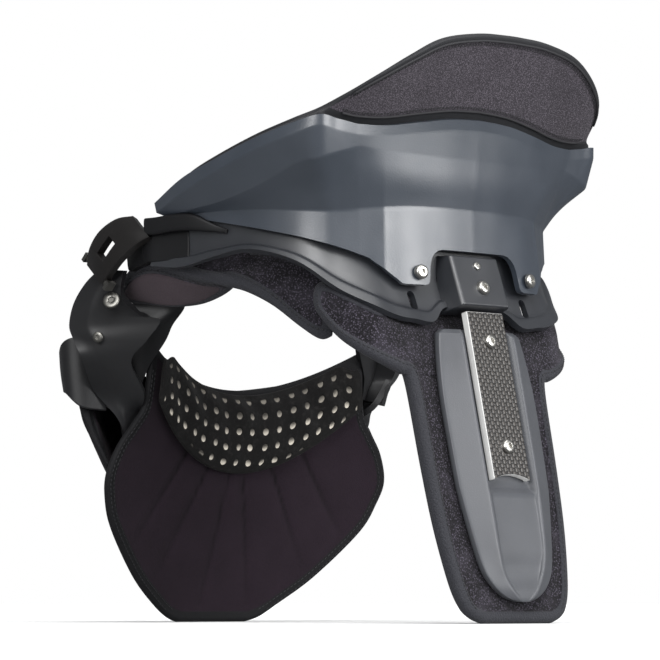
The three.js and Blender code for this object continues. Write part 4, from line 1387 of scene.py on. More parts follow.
@dataclass
class Strut:
    """Moulded plate down the back with its carbon strip and screws."""

    finishes: Finishes
    plate: Table = (
        (150, 26, 18, 3, 0.6), (148.5, 28.6, 19.2, 4.6, 1.2), (146, 30.3, 20, 6, 1.6),
        (132, 32.6, 20, 6.2, 1.6), (115, 34, 20, 6.2, 1.6), (92, 33.9, 19.8, 6.2, 1.6),
        (69, 33.2, 19.5, 6.2, 1.6), (66, 32.8, 19.4, 6.2, 5), (52, 30.6, 18.8, 5.7, 4.9),
        (38, 28, 18, 5, 4.2), (29, 25.8, 16.4, 3.9, 2.4), (23, 23, 14, 3, 1.9),
        (17, 17.6, 10, 2.6, 2.3), (13, 11, 6, 2, 1.9), (11, 4, 2.6, 1.2, 1.2),
    )
    bends: Numbers = (0.05, 0.12, 0.12, 0.4, 0.12)
    runs: tuple[int, ...] = (1, 6, 1, 3, 12, 3, 1, 6, 1, 4)
    strip_half: float = 13.5
    strip_edge: float = 0.6
    plate_depth: float = 3.4
    ridge_width: float = 1.8
    bed_inset: float = 2.4
    bed_margin: float = 2.2
    ledge: tuple[int, int] = (6, 7)
    screw_gap: float = 0.1
    strip_thick: float = 4.2
    strip_face: float = 6.4
    strip_ends: Pair = (159.6, 73)
    strip_notch: float = 3.0
    screw_heights: Pair = (144.3, 90)

    def build(self) -> None:
        """Builds the plate, the strip and its two screws."""
        z, half, ridge, high, floor = dense(self.plate, 5, self.ledge).T
        bed = np.minimum(ridge - self.bed_inset, self.strip_half + self.bed_margin)
        nought = np.zeros_like(z)
        wall = [(half, nought - self.plate_depth), (half, nought)]
        section = [*wall, (ridge, high), (ridge - self.ridge_width, high), (bed, floor)]
        left = [on_strut(x, z, out) for x, out in section]
        right = [on_strut(-x, z, out) for x, out in reversed(section)]
        rows = np.stack([*left, *right], axis=1)
        rings, _ = filleted_loop(rows, (*self.bends, *reversed(self.bends)), BEND_STEPS, self.runs)
        piece = add_tube("strut_moulding", rings)
        dress(piece, self.finishes.plate, Body.REAR, "strut_plate")
        self.strip()
        facing = (0.0, math.cos(STRUT_LEAN), math.sin(STRUT_LEAN))
        for word, height in zip(("upper", "lower"), self.screw_heights):
            seat = on_strut(np.array(0.0), np.array(height), np.array(self.strip_face + self.screw_gap))
            screw = Screw(f"strip_button_{word}", f"strip_screw_{word}", tuple(seat), facing)
            screw.build(self.finishes.steel, Body.REAR)

    def strip(self) -> None:
        """The carbon strip: a flat sheet with a hollow lower end, given its thickness."""
        x = np.linspace(-self.strip_half, self.strip_half, 15)[None, :]
        top, bottom = self.strip_ends
        end = bottom + self.strip_notch * (1 - (x / self.strip_half) ** 2)
        t = np.linspace(0, 1, 40)[:, None]
        z = top + (end - top) * t
        sheet = on_strut(x, z, np.array(self.strip_face))
        across, along = x + self.strip_half, z / math.cos(STRUT_LEAN)
        pattern = np.stack(np.broadcast_arrays(across, along), axis=-1) * MM
        piece = add_grid("carbon_strip", sheet, uv=pattern)
        thicken(piece, self.strip_thick, self.strip_edge)
        dress(piece, self.finishes.weave, Body.REAR, "strut_strip")
        # The side faces take the pale finish: a painted highlight along the strip's edges.
        piece.data.materials.append(self.finishes.core)
        piece.modifiers["wall"].material_offset_rim = 1


@dataclass
class BackPad:
    """Loop-faced pad under the strut, flat across it, with lobes that turn forward round the neck."""

    finishes: Finishes
    rows: Table = (
        (0, 23.5, 0, 0, 0), (3, 31, 0, 0, 0), (8, 36, 0, 0, 0), (20, 40.5, 0, 0, 0), (48, 45, 0, 0, 0),
        (80, 47, 0, 0, 0), (122, 48.5, 0, 0, 0), (126, 53, 0, 0, 0), (129.5, 65, 0.15, 0, 0),
        (133, 77, 0.3, 0, 0), (137, 88, 0.45, 0, 0), (142, 97, 0.65, 0, 0), (146, 101, 0.85, 0.6, 0),
        (149, 100, 1.2, 1.5, 1), (151, 96, 1.4, 5, 4.5), (152, 88, 1.55, 13, 10.5),
    )
    margin: float = 2.0
    tape: float = 5.8
    sunk: float = 1.5
    face: float = -4.0
    inner: float = -13.0
    lobe_start: float = 57.0
    lobe_radius: float = 26.0
    lobe_turn: float = math.radians(80)
    lobe_lift: float = 17.0
    lift_from: float = 46.0
    lift_to: float = 100.0
    flat_half: float = 40.0
    flat_fade: float = 25.0
    roll: float = 4.4
    spread: float = 1.46
    padding: Padding = Padding(2.0, 1.2, 12.0, 0.85)
    seams: SideSeams = SideSeams("back_pad_stitches", ("a", "b"), (("", 4.6),), slice(12, -14))

    def place(self, along: Array, z: Array, out: Array) -> Array:
        """Points of the cloth: arc length across from the middle, height, and place through the thickness."""
        away = np.abs(along)
        past = np.maximum(away - self.lobe_start, 0)
        angle = np.minimum(past / self.lobe_radius, self.lobe_turn)
        straight = past - angle * self.lobe_radius
        r = self.lobe_radius + out - self.face
        x = np.minimum(away, self.lobe_start) + r * np.sin(angle) + straight * np.cos(angle)
        back = out - r * (1 - np.cos(angle)) - straight * np.sin(angle)
        return on_strut(np.sign(along) * x, z, back)

    def build(self) -> None:
        """Builds the pad from its outline, with rounded rims and a sunk middle, then its stitches."""
        level = split_levels(3, 15, 19, 73)
        z, half, lift, rise, tuck = curve(self.rows, level).T
        t = np.sin(np.linspace(-1, 1, 81) * self.spread) / math.sin(self.spread)
        along = t[None, :] * (half + self.margin)[:, None]
        away = np.abs(along)
        far = np.clip((away - self.lift_from) / (self.lift_to - self.lift_from), 0, 1)
        middle = np.clip(1 - (away - self.flat_half) / self.flat_fade, 0, 1)
        height = z[:, None] + lift[:, None] * self.lobe_lift * far + rise[:, None] * middle
        edge = outline_distance(np.stack([along, height], axis=-1))
        drop = rolled(edge, self.roll)
        sunk = self.sunk * smoothstep(self.tape - 0.6, self.tape + 0.8, edge)
        face = self.place(along, height, self.face - drop - sunk - tuck[:, None])
        back = self.place(along, height, self.inner + drop - tuck[:, None])
        piece = add_slab("back_pad_foam", face, back, {"edge": edge})
        self.padding.stuff(piece, self.finishes.loop, Body.REAR, "back_pad")
        self.seams.build(face, edge, self.finishes.thread, Body.REAR)


@dataclass
class ShoulderPad:
    """Twisted padded ribbon under an arm, bound along its outer edge."""

    finishes: Finishes
    side: Side
    thickness: float = 8.0
    strip_span: Pair = (3.6, 8.4)
    strip_rise: Point = (-4.0, -2.0, 21.0)
    oval_span: Pair = (0.35, 5.3)
    oval_middle: float = 0.56
    oval_half: float = 0.36
    oval_sunk: float = 0.9
    oval_rise: float = 2.2
    oval_wall: Pair = (1.4, 0.4)
    strip_inset: float = 2.0
    strip_wall: Pair = (3.0, 0.9)
    stitch_lift: float = 0.5
    steps: int = 7
    squareness: Pair = (0.75, 0.6)
    inset: float = 4.4
    padding: Padding = Padding(1.5, 1.2, 6.0, 0.8)
    stitching: Stitching = Stitching(2.8, 1.9, 0.6)
    edge: Table = (
        (98, -57.5, 179), (100.5, -48, 185.5), (102.5, -34, 189), (103, -22, 188.8), (101, -8, 185),
        (97.5, 4, 180), (93.5, 15, 175.5), (88, 28, 171), (81, 41, 163), (74, 54, 151.6),
        (69, 63.5, 145), (65.5, 69.5, 146.5),
    )
    across: Table = (
        (-6, -5, -9), (-12, -8, -16), (-16, -9, -21), (-18, -7, -22.5), (-22, -3, -17), (-25, -1, -4),
        (-20, -4, 12), (-12, -6, 22), (-7, -6, 30), (-4, -6, 37), (-4, -5, 38), (-3, -4, 34),
    )

    def build(self) -> None:
        """Builds the ribbon: a flattened round section along the edge, turned by the vector across."""
        edge = dense(self.edge, self.steps)
        across = dense(self.across, self.steps)
        normal = unit(np.cross(np.gradient(edge, axis=0), across))
        angle = angles(44)
        t = 0.5 - 0.5 * signed_power(np.cos(angle), self.squareness[0])
        n = signed_power(np.sin(angle), self.squareness[1]) * self.thickness / 2
        rise = normal[:, None] * n[None, :, None] * self.slim(len(edge))
        rings = edge[:, None] + across[:, None] * t[None, :, None] + rise
        flip = self.side.flip
        wide = np.linalg.norm(across, axis=1)[:, None]
        run = lengths(edge)
        ends = np.minimum(run, run[-1] - run)[:, None]
        seam = np.minimum(np.minimum(t, 1 - t)[None] * wide, ends + 1.0)
        piece = add_tube(f"shoulder_pad_foam_{self.side.word}", rings * flip, layers={"edge": seam})
        self.padding.stuff(piece, self.finishes.loop, Body.REAR, f"shoulder_pad_{self.side.word}")
        self.strip(edge, across, flip)
        self.oval(edge, across, normal, flip)
        self.stitch(edge, across, normal, flip)

    def slim(self, count: int) -> Array:
        """How far the ribbon keeps its thickness along its length: full, and round at both ends."""
        run = np.linspace(0, 1, count)
        return np.sqrt(np.clip(1 - np.abs(2 * run - 1) ** 9, 0.05, 1))[:, None, None]

    def strip(self, edge: Array, across: Array, flip: Array) -> None:
        """The loop strip above the bound edge: straight lines up to a line under the arm's lip."""
        part = slice(*(round(k * self.steps) for k in self.strip_span))
        low = edge[part] + unit(across[part]) * self.strip_inset
        rise = np.sin(np.linspace(0, 1, len(low)) * math.pi)[:, None] ** 0.6
        top = low + np.array(self.strip_rise) * rise
        t = np.linspace(0, 1, 9)[None, :, None]
        sheet = (low[:, None] * (1 - t) + top[:, None] * t) * flip
        far = {"edge": np.full(sheet.shape[:2], FAR_FROM_SEAMS)}
        name = f"shoulder_strip_{self.side.word}"
        piece = add_grid(name, sheet, flip=self.side is Side.LEFT, layers=far)
        thicken(piece, *self.strip_wall)
        dress(piece, self.finishes.loop, Body.REAR)

    def oval(self, edge: Array, across: Array, normal: Array, flip: Array) -> None:
        """The smooth oval face under the front end: a shallow dome set on the ribbon's lower side."""
        first, last = (round(k * self.steps) for k in self.oval_span)
        s = np.linspace(-1, 1, last - first)
        half = self.oval_half * np.sqrt(np.clip(1 - np.abs(s) ** 2.6, 0.004, 1))
        t = self.oval_middle + half[:, None] * np.linspace(-1, 1, 25)[None]
        radius = np.sqrt(s[:, None] ** 2 + ((t - self.oval_middle) / self.oval_half) ** 2)
        dome = self.oval_rise * np.sqrt(1 - np.minimum(radius, 1) ** 4)
        dome += self.thickness / 2 - self.oval_sunk
        part = slice(first, last)
        sheet = edge[part, None] + across[part, None] * t[..., None] - normal[part, None] * dome[..., None]
        far = {"edge": np.full(sheet.shape[:2], FAR_FROM_SEAMS)}
        name = f"shoulder_oval_{self.side.word}"
        piece = add_grid(name, sheet * flip, flip=self.side is Side.RIGHT, layers=far)
        thicken(piece, *self.oval_wall)
        # The facing is painted lighter: painted light on the oval face.
        dress(piece, self.finishes.facing, Body.REAR)

    def stitch(self, edge: Array, across: Array, normal: Array, flip: Array) -> None:
        """Rows of stitches along the bound edge, on both of the ribbon's sides."""
        t = self.inset / np.linalg.norm(across, axis=1)[:, None]
        along, through = self.squareness
        up = np.sqrt(1 - np.clip(1 - 2 * t, 0, 1) ** (2 / along)) ** through * self.thickness / 2
        lift = up * self.slim(len(edge))[:, 0] + self.stitch_lift
        kept = slice(5, -5)
        for word, way in (("upper", normal), ("lower", -normal)):
            path = edge + across * t + way * lift
            name = f"shoulder_stitches_{word}_{self.side.word}"
            self.stitching.sew(name, path[kept] * flip, way[kept] * flip, self.finishes.thread, Body.REAR)


# Front half

CHEST_FLAP = np.array(
    [
        [0, 0, 24, -93.5, -92],
        [3, 0, 33, -93, -90],
        [10, 0, 44.5, -91.5, -87.5],
        [25, 0, 65.5, -88, -80],
        [48, 2, 90.5, -82.5, -69],
        [62, 4, 99, -79.5, -64],
        [72, 7, 101.5, -77.5, -60],
        [82, 12, 96, -76, -57.5],
        [90, 16, 87, -75.5, -56],
        [100, 18, 80, -75, -55],
        [127, 24, 77, -74, -53],
    ]
)
NECK_COLLAR = np.array(
    [
        [81, 37, 75.5, -76, -54, 2.5],
        [88, 34, 75.5, -75.6, -53.6, 6],
        [102, 28, 74.5, -75, -53.5, 8],
        [116, 25, 73.5, -74.4, -53.3, 7],
        [124, 24.5, 72, -74, -53, 3],
    ]
)


def across_chest(count: int, spread: float) -> Array:
    """Places from -1 to 1, closer together towards both ends, as a sine up to a share of its rise."""
    angle = math.pi / 2 * spread
    return np.sin(np.linspace(-1, 1, count) * angle) / math.sin(angle)


def on_chest(rows: Array, across: Array, forward: Array | float) -> Array:
    """Points of the chest cloth: table rows by places from -1 to 1 across, moved forward by a distance."""
    z, rise, half, middle, side = (rows[:, k : k + 1] for k in range(5))
    bow = across[None, :] ** 2
    y = middle + (side - middle) * bow - forward
    return np.stack([half * across[None, :], y, z + rise * bow], axis=-1)


@dataclass
class ChestFlap:
    """Bound cloth flap with soft folds that fan out from the collar's seam."""

    finishes: Finishes
    thickness: float = 5.0
    roll: float = 2.5
    margin: float = 1.6
    fold_depth: float = 1.3
    fold_width: float = 1.5
    fold_fade: float = 0.65
    fold_swell: Point = (0.25, 7.0, 5.0)
    press_from: Pair = (5.5, 10.0)
    press_through: float = 0.4
    padding: Padding = Padding(1.2, 0.9, 9.0, 0.6)
    seams: SideSeams = SideSeams(
        "chest_flap_stitches", ("right", "left"), (("0", 2.0), ("1", 4.6)), slice(12, -4)
    )
    folds: Table = (
        (37, 92, 73, 42), (19, 85, 50, 24), (3, 82, 11, 9), (-7, 82, -24, 9), (-27, 86, -61, 24),
        (-46, 95, -83, 44),
    )

    def build(self) -> None:
        """Builds the flap from its outline rows, presses the folds into its face and sews its edge."""
        rows = curve(CHEST_FLAP, split_levels(3, 10, 22, 60))
        rows = rows + np.array([0.0, 0.0, self.margin, 0.0, 0.0])
        across = across_chest(101, 0.9)
        flat = on_chest(rows, across, 0.0)
        edge = outline_distance(flat[..., [0, 2]])
        drop = rolled(edge, self.roll)
        pressed = self.pressed(flat) * smoothstep(*self.press_from, edge)
        face = on_chest(rows, across, drop + pressed)
        back = on_chest(rows, across, self.thickness - drop + self.press_through * pressed)
        # The second layer is the groove depth, which the cloth turns into painted shade in the folds.
        layers = {"edge": edge, "fold": pressed / self.fold_depth}
        piece = add_slab("chest_flap_cloth", face, back, layers)
        self.padding.stuff(piece, self.finishes.cloth, Body.FRONT, "chest_flap")
        self.seams.build(face, edge, self.finishes.thread, Body.FRONT)

    def pressed(self, points: Array) -> Array:
        """Depth of the folds: the sum of grooves that fall off with distance from each fold's line."""
        depth = np.zeros(points.shape[:2])
        height, away, wide = self.fold_swell
        for x0, z0, x1, z1 in self.folds:
            line = np.array([x1 - x0, z1 - z0])
            long = np.linalg.norm(line)
            to = points[..., [0, 2]] - np.array([x0, z0])
            t = np.clip(to @ line / long**2, 0, 1)
            off = np.linalg.norm(to - t[..., None] * line, axis=-1)
            groove = np.exp(-((off / (self.fold_width * (1 + t))) ** 2))
            swell = height * np.exp(-(((off - away) / wide) ** 2))
            depth += self.fold_depth * (1 - self.fold_fade * t) * (groove - swell)
        return depth


@dataclass
class NeckCollar:
    """Perforated padded collar on the flap's inner side."""

    finishes: Finishes
    gap: float = 0.9
    corner: float = 8.0
    corner_from: float = 0.84
    wrinkle_depths: Pair = (0.7, 0.35)
    wrinkle_from: Pair = (1.5, 5.0)
    padding: Padding = Padding(1.0, 0.8, 8.0, 0.7)

    def build(self) -> None:
        """Builds the collar between the flap and its own swollen face, with light wrinkles."""
        rows = dense(NECK_COLLAR, 9)
        across = across_chest(91, 0.85)
        thick = rows[:, 5:6] * np.sqrt(np.clip(1 - 0.9 * across**2, 0, 1))[None]
        flat = on_chest(rows, across, -self.gap)
        depth = thick + self.wrinkles(flat) * smoothstep(*self.wrinkle_from, thick)
        face = on_chest(rows, across, -self.gap - depth)
        share = np.linspace(0, 1, len(rows))[:, None] ** 2
        corner = self.corner * share * smoothstep(self.corner_from, 1.0, np.abs(across))[None]
        face[..., 2] -= corner
        flat[..., 2] -= corner
        u, v = lengths(face, 1), lengths(face, 0)
        u = u - u[:, [face.shape[1] // 2]]
        v = v[-1:] - v
        edge = np.minimum(np.minimum(v, v[:1] - v), rows[:, 2:3] * (1 - np.abs(across))[None])
        pattern = np.stack([u, v], axis=-1) * MM
        piece = add_slab("neck_collar_lining", face, flat, {"edge": edge}, pattern)
        self.padding.stuff(piece, self.finishes.lining, Body.FRONT, "neck_collar")

    def wrinkles(self, points: Array) -> Array:
        """Light wrinkles: a sine across whose phase sways with height, and a weaker slanting one."""
        x, z = points[..., 0], points[..., 2]
        main, slanting = self.wrinkle_depths
        upright = np.sin(x * 0.31 + np.sin(z * 0.13) * 1.7)
        return main * upright + slanting * np.sin(x * 0.17 - z * 0.21)


@dataclass
class SidePanel:
    """Moulded panel from the clip down to the flap, creased along its middle."""

    finishes: Finishes
    side: Side
    wall: float = 3.4
    rows: tuple[Table, ...] = (
        ((115, -57, 185), (113, -49, 185), (111, -41, 184)),
        ((118, -64, 178), (116, -53, 177), (110, -44, 171)),
        ((120.5, -70, 168), (117.5, -57, 167), (98, -43, 161.5)),
        ((121, -73, 157), (117, -60, 156), (89, -37, 159)),
        ((120, -71.5, 150), (115, -58, 148), (94, -42, 148)),
        ((118, -66.5, 139), (110, -58, 137), (98, -49.5, 137)),
        ((103, -74, 123), (97.5, -64, 121), (87, -51.5, 120)),
        ((94, -66, 109), (92, -63, 110), (81, -62.5, 111)),
        ((88, -64.8, 98), (85.5, -64.5, 99), (80, -64, 100)),
    )
    screw: Point = (113.75, -47.5, 168.7)
    screw_faces: Point = (0.78, 0.5, 0.33)
    rivet: Point = (115.9, -55.7, 149.6)
    rivet_faces: Point = (0.86, 0.46, -0.1)
    screw_size: Numbers = (4.6, 1.0, 1.6, 0.7)
    rivet_size: Numbers = (2.9, 1.0, 1.1, 0.6)
    crease: float = 0.22
    edge: float = 0.8

    def build(self) -> None:
        """Builds the panel and its two fixings."""
        grid = filleted(dense(self.rows, 10), (self.crease,), 8)
        t = np.linspace(0, 1, 5)[None, :, None]
        start = grid[:, :1] + (grid[:, 1:2] - grid[:, :1]) * t[:, :-1]
        tail = grid[:, -2:-1] + (grid[:, -1:] - grid[:, -2:-1]) * t[:, 1:]
        sheet = np.concatenate([start, grid[:, 1:-1], tail], axis=1)
        flip = self.side.flip
        piece = add_grid(f"side_panel_moulding_{self.side.word}", sheet * flip, flip=self.side is Side.LEFT)
        thicken(piece, self.wall, self.edge)
        dress(piece, self.finishes.front, Body.FRONT, f"side_panel_{self.side.word}")
        for name, at, faces, size in (
            ("screw", self.screw, self.screw_faces, self.screw_size),
            ("rivet", self.rivet, self.rivet_faces, self.rivet_size),
        ):
            names = f"panel_{name}_head_{self.side.word}", f"panel_{name}_{self.side.word}"
            head = Screw(*names, tuple(flip * at), tuple(flip * faces), *size)
            head.build(self.finishes.dull, Body.FRONT)


@dataclass
class FrontBand:
    """Plastic band round the front, with the padded deck inside it and the padded skirt below."""

    finishes: Finishes
    wall: float = 3.4
    lean: float = 2.5
    band: Table = (
        (95, -72, 112, 146), (107.6, -78.5, 114, 151), (110.6, -88, 121, 148), (98, -102, 122, 140),
        (72, -113, 119, 134), (38, -119, 113, 129.5), (0, -121, 110, 128),
    )
    skirt: tuple[Table, ...] = (
        ((105, -82, 112), (101.5, -84, 104), (97, -70.5, 84)),
        ((104, -88, 126), (100.5, -87.5, 112), (94, -74, 80)),
        ((92.5, -99, 123), (90.5, -98.5, 109), (84, -82, 75)),
        ((71, -114, 118), (70, -114.5, 102), (64, -93, 67)),
        ((38, -120, 111), (37.5, -121, 96), (34, -99, 60)),
        ((0, -122, 108), (0, -123, 93), (0, -101, 58)),
    )
    depth: Numbers = (6, 8, 10, 11, 12, 12)
    deck: tuple[Table, ...] = (
        ((0, -116.6, 122.5), (0, -80.6, 117)),
        ((38, -114.6, 123.5), (30, -78, 119)),
        ((69.5, -108.6, 127), (56, -70.8, 124.5)),
        ((93, -97.8, 131), (72, -65, 131)),
        ((102, -88.5, 134), (81, -64, 135)),
    )
    deck_thick: float = 5.0
    deck_crown: float = 1.2
    bulge: float = 0.6
    edge: float = 0.9
    back_shares: Pair = (0.75, 0.35)
    bends: Numbers = (0.3, 0.5, 0.3, 0.3, 0.5, 0.3)
    runs: tuple[int, ...] = (3, 3, 1, 3, 3, 1)
    padding: Padding = Padding(1.5, 1.2, 8.0, 0.7)

    def build(self) -> None:
        """Builds the band, the deck and the skirt."""
        table = dense(self.band, 12)[::-1]
        foot = table[:, [0, 1, 2]]
        outward = unit(foot * LEVEL)
        top = table[:, [0, 1, 3]] + outward * self.lean
        rows = np.stack([foot, (foot + top) / 2 + outward * self.bulge, top], axis=1)
        piece = add_grid("front_band_moulding", whole(filleted(rows, (0.5,), 8)), flip=True)
        thicken(piece, self.wall, self.edge)
        dress(piece, self.finishes.front, Body.FRONT, "front_band")
        self.pad("front_deck", self.deck_rings())
        self.pad("front_skirt", self.skirt_rings())

    def deck_rings(self) -> Array:
        """Sections of the deck: upper edges, a crowned middle and the same below."""
        front, rear = np.moveaxis(dense(self.deck, 10), 1, 0)
        crown = (front + rear) / 2 + self.deck_crown * UP
        under = self.deck_thick * UP
        return whole(np.stack([front, crown, rear, rear - under, crown - under, front - under], axis=1))

    def skirt_rings(self) -> Array:
        """Sections of the skirt: hem, bulge and top in front, and the same moved back by its depth."""
        top, bulge, hem = np.moveaxis(dense(self.skirt, 10)[::-1], 1, 0)
        depth = dense(self.depth, 10)[::-1, None]
        back = unit((np.array([0.0, -20.0, 0.0]) - bulge) * LEVEL) * depth
        at_top, at_hem = self.back_shares
        rear = [top + back * at_top, bulge + back, hem + back * at_hem]
        return whole(np.stack([hem, bulge, top, *rear], axis=1))

    def pad(self, node: str, sections: Array) -> None:
        """A padded piece through sections, with rounded bends and a bound look along its seams.

        Args:
            node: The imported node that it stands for.
            sections: Columns by six rows by 3.
        """
        rings, _ = filleted_loop(sections, self.bends, BEND_STEPS, self.runs)
        run = ring_run(rings)
        half = run[:, -1:] / 2
        seam = np.minimum(run % half, half - run % half)
        ends = lengths(sections[:, 1])
        seam = np.minimum(seam, np.minimum(ends, ends[-1] - ends)[:, None])
        piece = add_tube(f"{node}_foam", rings, layers={"edge": seam})
        self.padding.stuff(piece, self.finishes.cloth, Body.FRONT, node)


@dataclass
class NeckWing:
    """Smooth wing that closes the side between the flap's corner and the shoulder pad."""

    finishes: Finishes
    side: Side
    wall: float = 4.0
    tuck: float = 16.0
    sunk: float = 6.0
    bow: float = 6.0
    edge: float = 0.9
    joined: Table = (
        (89.5, -50, 122), (93.5, -50, 130), (97.5, -49.5, 137), (94, -42.5, 148), (89.5, -38.5, 158),
        (86, -38.5, 166), (82, -38.5, 172),
    )
    outer: Table = (
        (86, -62, 124), (87.5, -60, 130), (90.5, -58, 137), (89.2, -53.2, 148), (84.7, -50.7, 158),
        (77, -52.8, 166), (74, -50, 172),
    )
    neck: Table = (
        (83, -59, 124), (82, -57, 130), (80, -54.5, 137), (72.7, -50.7, 149.5), (70, -48, 158),
        (66, -44, 166), (65, -42.5, 172),
    )

    def build(self) -> None:
        """Builds the wing: straight lines between two curves, bowed a little."""
        outer, neck = (dense(v, 8)[:, None] for v in (self.outer, self.neck))
        t = np.linspace(0, 1, 14)[None, :, None]
        sideways = 0.7 * LEVEL
        bow = sideways * self.bow * t * (1 - t)
        tuck = outer + unit(outer - neck) * self.tuck - sideways * self.sunk
        if self.side is Side.RIGHT:
            tuck = dense(self.joined, 8)[:, None]
        shelf = np.concatenate([tuck * (1 - k) + outer * k for k in (0.0, 0.4, 0.8)], axis=1)
        sheet = np.concatenate([shelf, outer * (1 - t) + neck * t + bow], axis=1)
        name = f"neck_wing_moulding_{self.side.word}"
        piece = add_grid(name, sheet * self.side.flip, flip=self.side is Side.RIGHT)
        thicken(piece, self.wall, self.edge)
        dress(piece, self.finishes.front, Body.FRONT, f"neck_wing_{self.side.word}")


@dataclass
class ArmBar:
    """Rounded bar along the top of an arm and the slanting end of the left one, where the clip hooks on."""

    finishes: Finishes
    side: Side
    tongue_half: Pair = (2.8, 6.5)
    tongue_path: Table = (
        (108, -14, 194), (108.2, -24, 193), (106.8, -34, 191.5), (104.8, -42, 190),
    )
    cheek_x: float = 112.8
    cheek_back: float = 4.0
    cheek_knee: float = -19.0
    cheek_slopes: Pair = (0.3, 0.08)
    cheek_wall: Pair = (5.0, 1.2)
    thinned: float = 0.75
    thin_from: float = 0.55
    cheek_front: Table = (
        (-23.5, 187), (-24.8, 190.5), (-25, 197), (-21.5, 201.5), (-18, 205), (-15, 208),
    )
    half: Pair = (2.6, 4.6)
    squareness: float = 0.45
    edge: float = 0.8
    path: Table = (
        (113.6, -20, 205.2), (112.4, -12, 205.4), (110.2, -2, 206.4), (107.4, 8, 206.2),
        (104.6, 18, 203.4), (101, 28, 200.6),
    )

    def build(self) -> None:
        """Builds the bar, thinning into the arm, and the left arm's cheek and tongue."""
        path = dense(self.path, 8) * self.side.flip
        thin = 1 - self.thinned * smoothstep(self.thin_from, 1.0, np.linspace(0, 1, len(path)))
        self.rod(f"arm_bar_{self.side.word}", path, self.half, thin)
        if self.side is Side.LEFT:
            self.cheek()
            tongue = dense(self.tongue_path, 6)
            self.rod("arm_tongue_left", tongue, self.tongue_half, np.ones(len(tongue)))

    def rod(self, name: str, path: Array, half: Pair, thin: Array) -> None:
        """A superellipse carried along a path.

        Args:
            name: Name of the piece.
            path: Points of the path.
            half: The superellipse's half width and half height.
            thin: A factor on its size at each point of the path.
        """
        angle = angles(32)
        round_off = [signed_power(v, self.squareness) for v in (np.cos(angle), np.sin(angle))]
        rings = sweep(path, np.broadcast_to(UP, path.shape), np.stack(round_off, axis=-1) * half)
        middle = path[:, None]
        piece = add_tube(name, middle + (rings - middle) * thin[:, None, None])
        round_edges(piece, self.edge)
        dress(piece, self.finishes.arm, Body.REAR)

    def cheek(self) -> None:
        """The arm's end: straight lines from a slanting front edge back to the arm, bowed as the arm is."""
        front = dense(self.cheek_front, 5)
        t = np.linspace(0, 1, 12)[None, :]
        y = front[:, :1] * (1 - t) + self.cheek_back * t
        behind, ahead = self.cheek_slopes
        past = y - self.cheek_knee
        x = self.cheek_x - behind * np.maximum(past, 0) + ahead * np.minimum(past, 0)
        z = np.broadcast_to(front[:, 1:], y.shape)
        piece = add_grid("arm_cheek_left", np.stack([x, y, z], axis=-1))
        thicken(piece, *self.cheek_wall)
        dress(piece, self.finishes.arm, Body.REAR)


@dataclass
class Clip:
    """Curved clip between an arm and a side panel, with a window through its middle."""

    finishes: Finishes
    side: Side
    width: float = 20.0
    pinned: float = 14.0
    thickness: float = 5.0
    window: Pair = (6.5, 12.0)
    window_at: float = 0.55
    window_reach: float = 12.0
    bulge: Pair = (0.86, 0.28)
    bevel: Pair = (0.85, 0.8)
    edge: float = 0.6
    barrel_edge: float = 0.3
    path: Table = (
        (116, -22.5, 206), (119, -31, 203.5), (121.5, -41, 197), (122, -49, 189), (120.7, -53.9, 182.4),
    )
    axis: Point = (0.0, 0.727, -0.687)
    knuckle: Point = (-115.5, -28, 203.5)
    knuckle_size: Point = (5.0, 2.2, 17.0)

    def build(self) -> None:
        """Builds the clip as a section carried along its path, cuts the window and rounds its edges."""
        table = np.array(self.path[0 if self.side is Side.LEFT else 1 :], dtype=float)
        path = dense(table, 8)
        across = unit(np.array(self.axis))
        inward = unit(np.cross(np.gradient(path, axis=0), across[None]))
        inward = np.where(inward[:, :1] > 0, -inward, inward)
        share = np.linspace(0, 1, len(path))
        wide = self.width if self.side is Side.LEFT else self.pinned
        ends, middle = self.bulge
        half = wide / 2 * (ends + middle * np.sin(math.pi * share))
        (a, b), t = self.bevel, self.thickness
        section = np.array([[-1, b], [-a, 0], [a, 0], [1, b], [1, t], [-1, t]])
        rings = (
            path[:, None]
            + across[None, None] * (half[:, None] * section[None, :, 0])[..., None]
            + inward[:, None] * section[None, :, 1, None]
        )
        flip = self.side.flip
        piece = add_tube(f"clip_moulding_{self.side.word}", rings * flip)
        carve(piece, self.cutter(path[round(len(path) * self.window_at)], across, flip))
        round_edges(piece, self.edge)
        body = Body.LATCH if self.side is Side.LEFT else Body.FRONT
        dress(piece, self.finishes.clip, body, f"latch_clip_{self.side.word}")
        if self.side is Side.RIGHT:
            self.barrel()

    def cutter(self, middle: Array, across: Array, flip: Array) -> Piece:
        """A bar of rectangular section, square to the clip, for its window."""
        wide, long = self.window
        outward = np.array([1.0, 0.0, 0.0])
        along = unit(np.cross(across, outward))
        corners = np.array([[-1, -1], [1, -1], [1, 1], [-1, 1]]) / 2
        ring = corners[:, :1] * wide * across + corners[:, 1:] * long * along
        ends = np.array([-self.window_reach, self.window_reach])[:, None, None] * outward
        return add_tube("window_cutter", (middle + ring + ends) * flip)

    def barrel(self) -> None:
        """The knuckle round the right-hand pin: a bored barrel turned about the pin."""
        outer, inner, tall = self.knuckle_size
        bevelled = outer - 0.5
        upper = [(outer, 0.47), (bevelled, 0.5), (inner, 0.5)]
        lower = [(reach, -share) for reach, share in reversed(upper)]
        radius, level = np.array(lower + upper).T[:, :, None]
        rings = lathe(radius, level * tall, angles(40)) + np.array(self.knuckle)
        ring = np.arange(rings.shape[1])
        last = (len(rings) - 1) * len(ring)
        after = np.roll(ring, -1)
        bore = np.stack([last + ring, last + after, after, ring], axis=1)
        faces = np.concatenate([quads(*rings.shape[:2], wrap=True), bore])
        piece = add_mesh("clip_barrel_right", rings, faces.tolist())
        round_edges(piece, self.barrel_edge)
        dress(piece, self.finishes.clip, Body.FRONT)


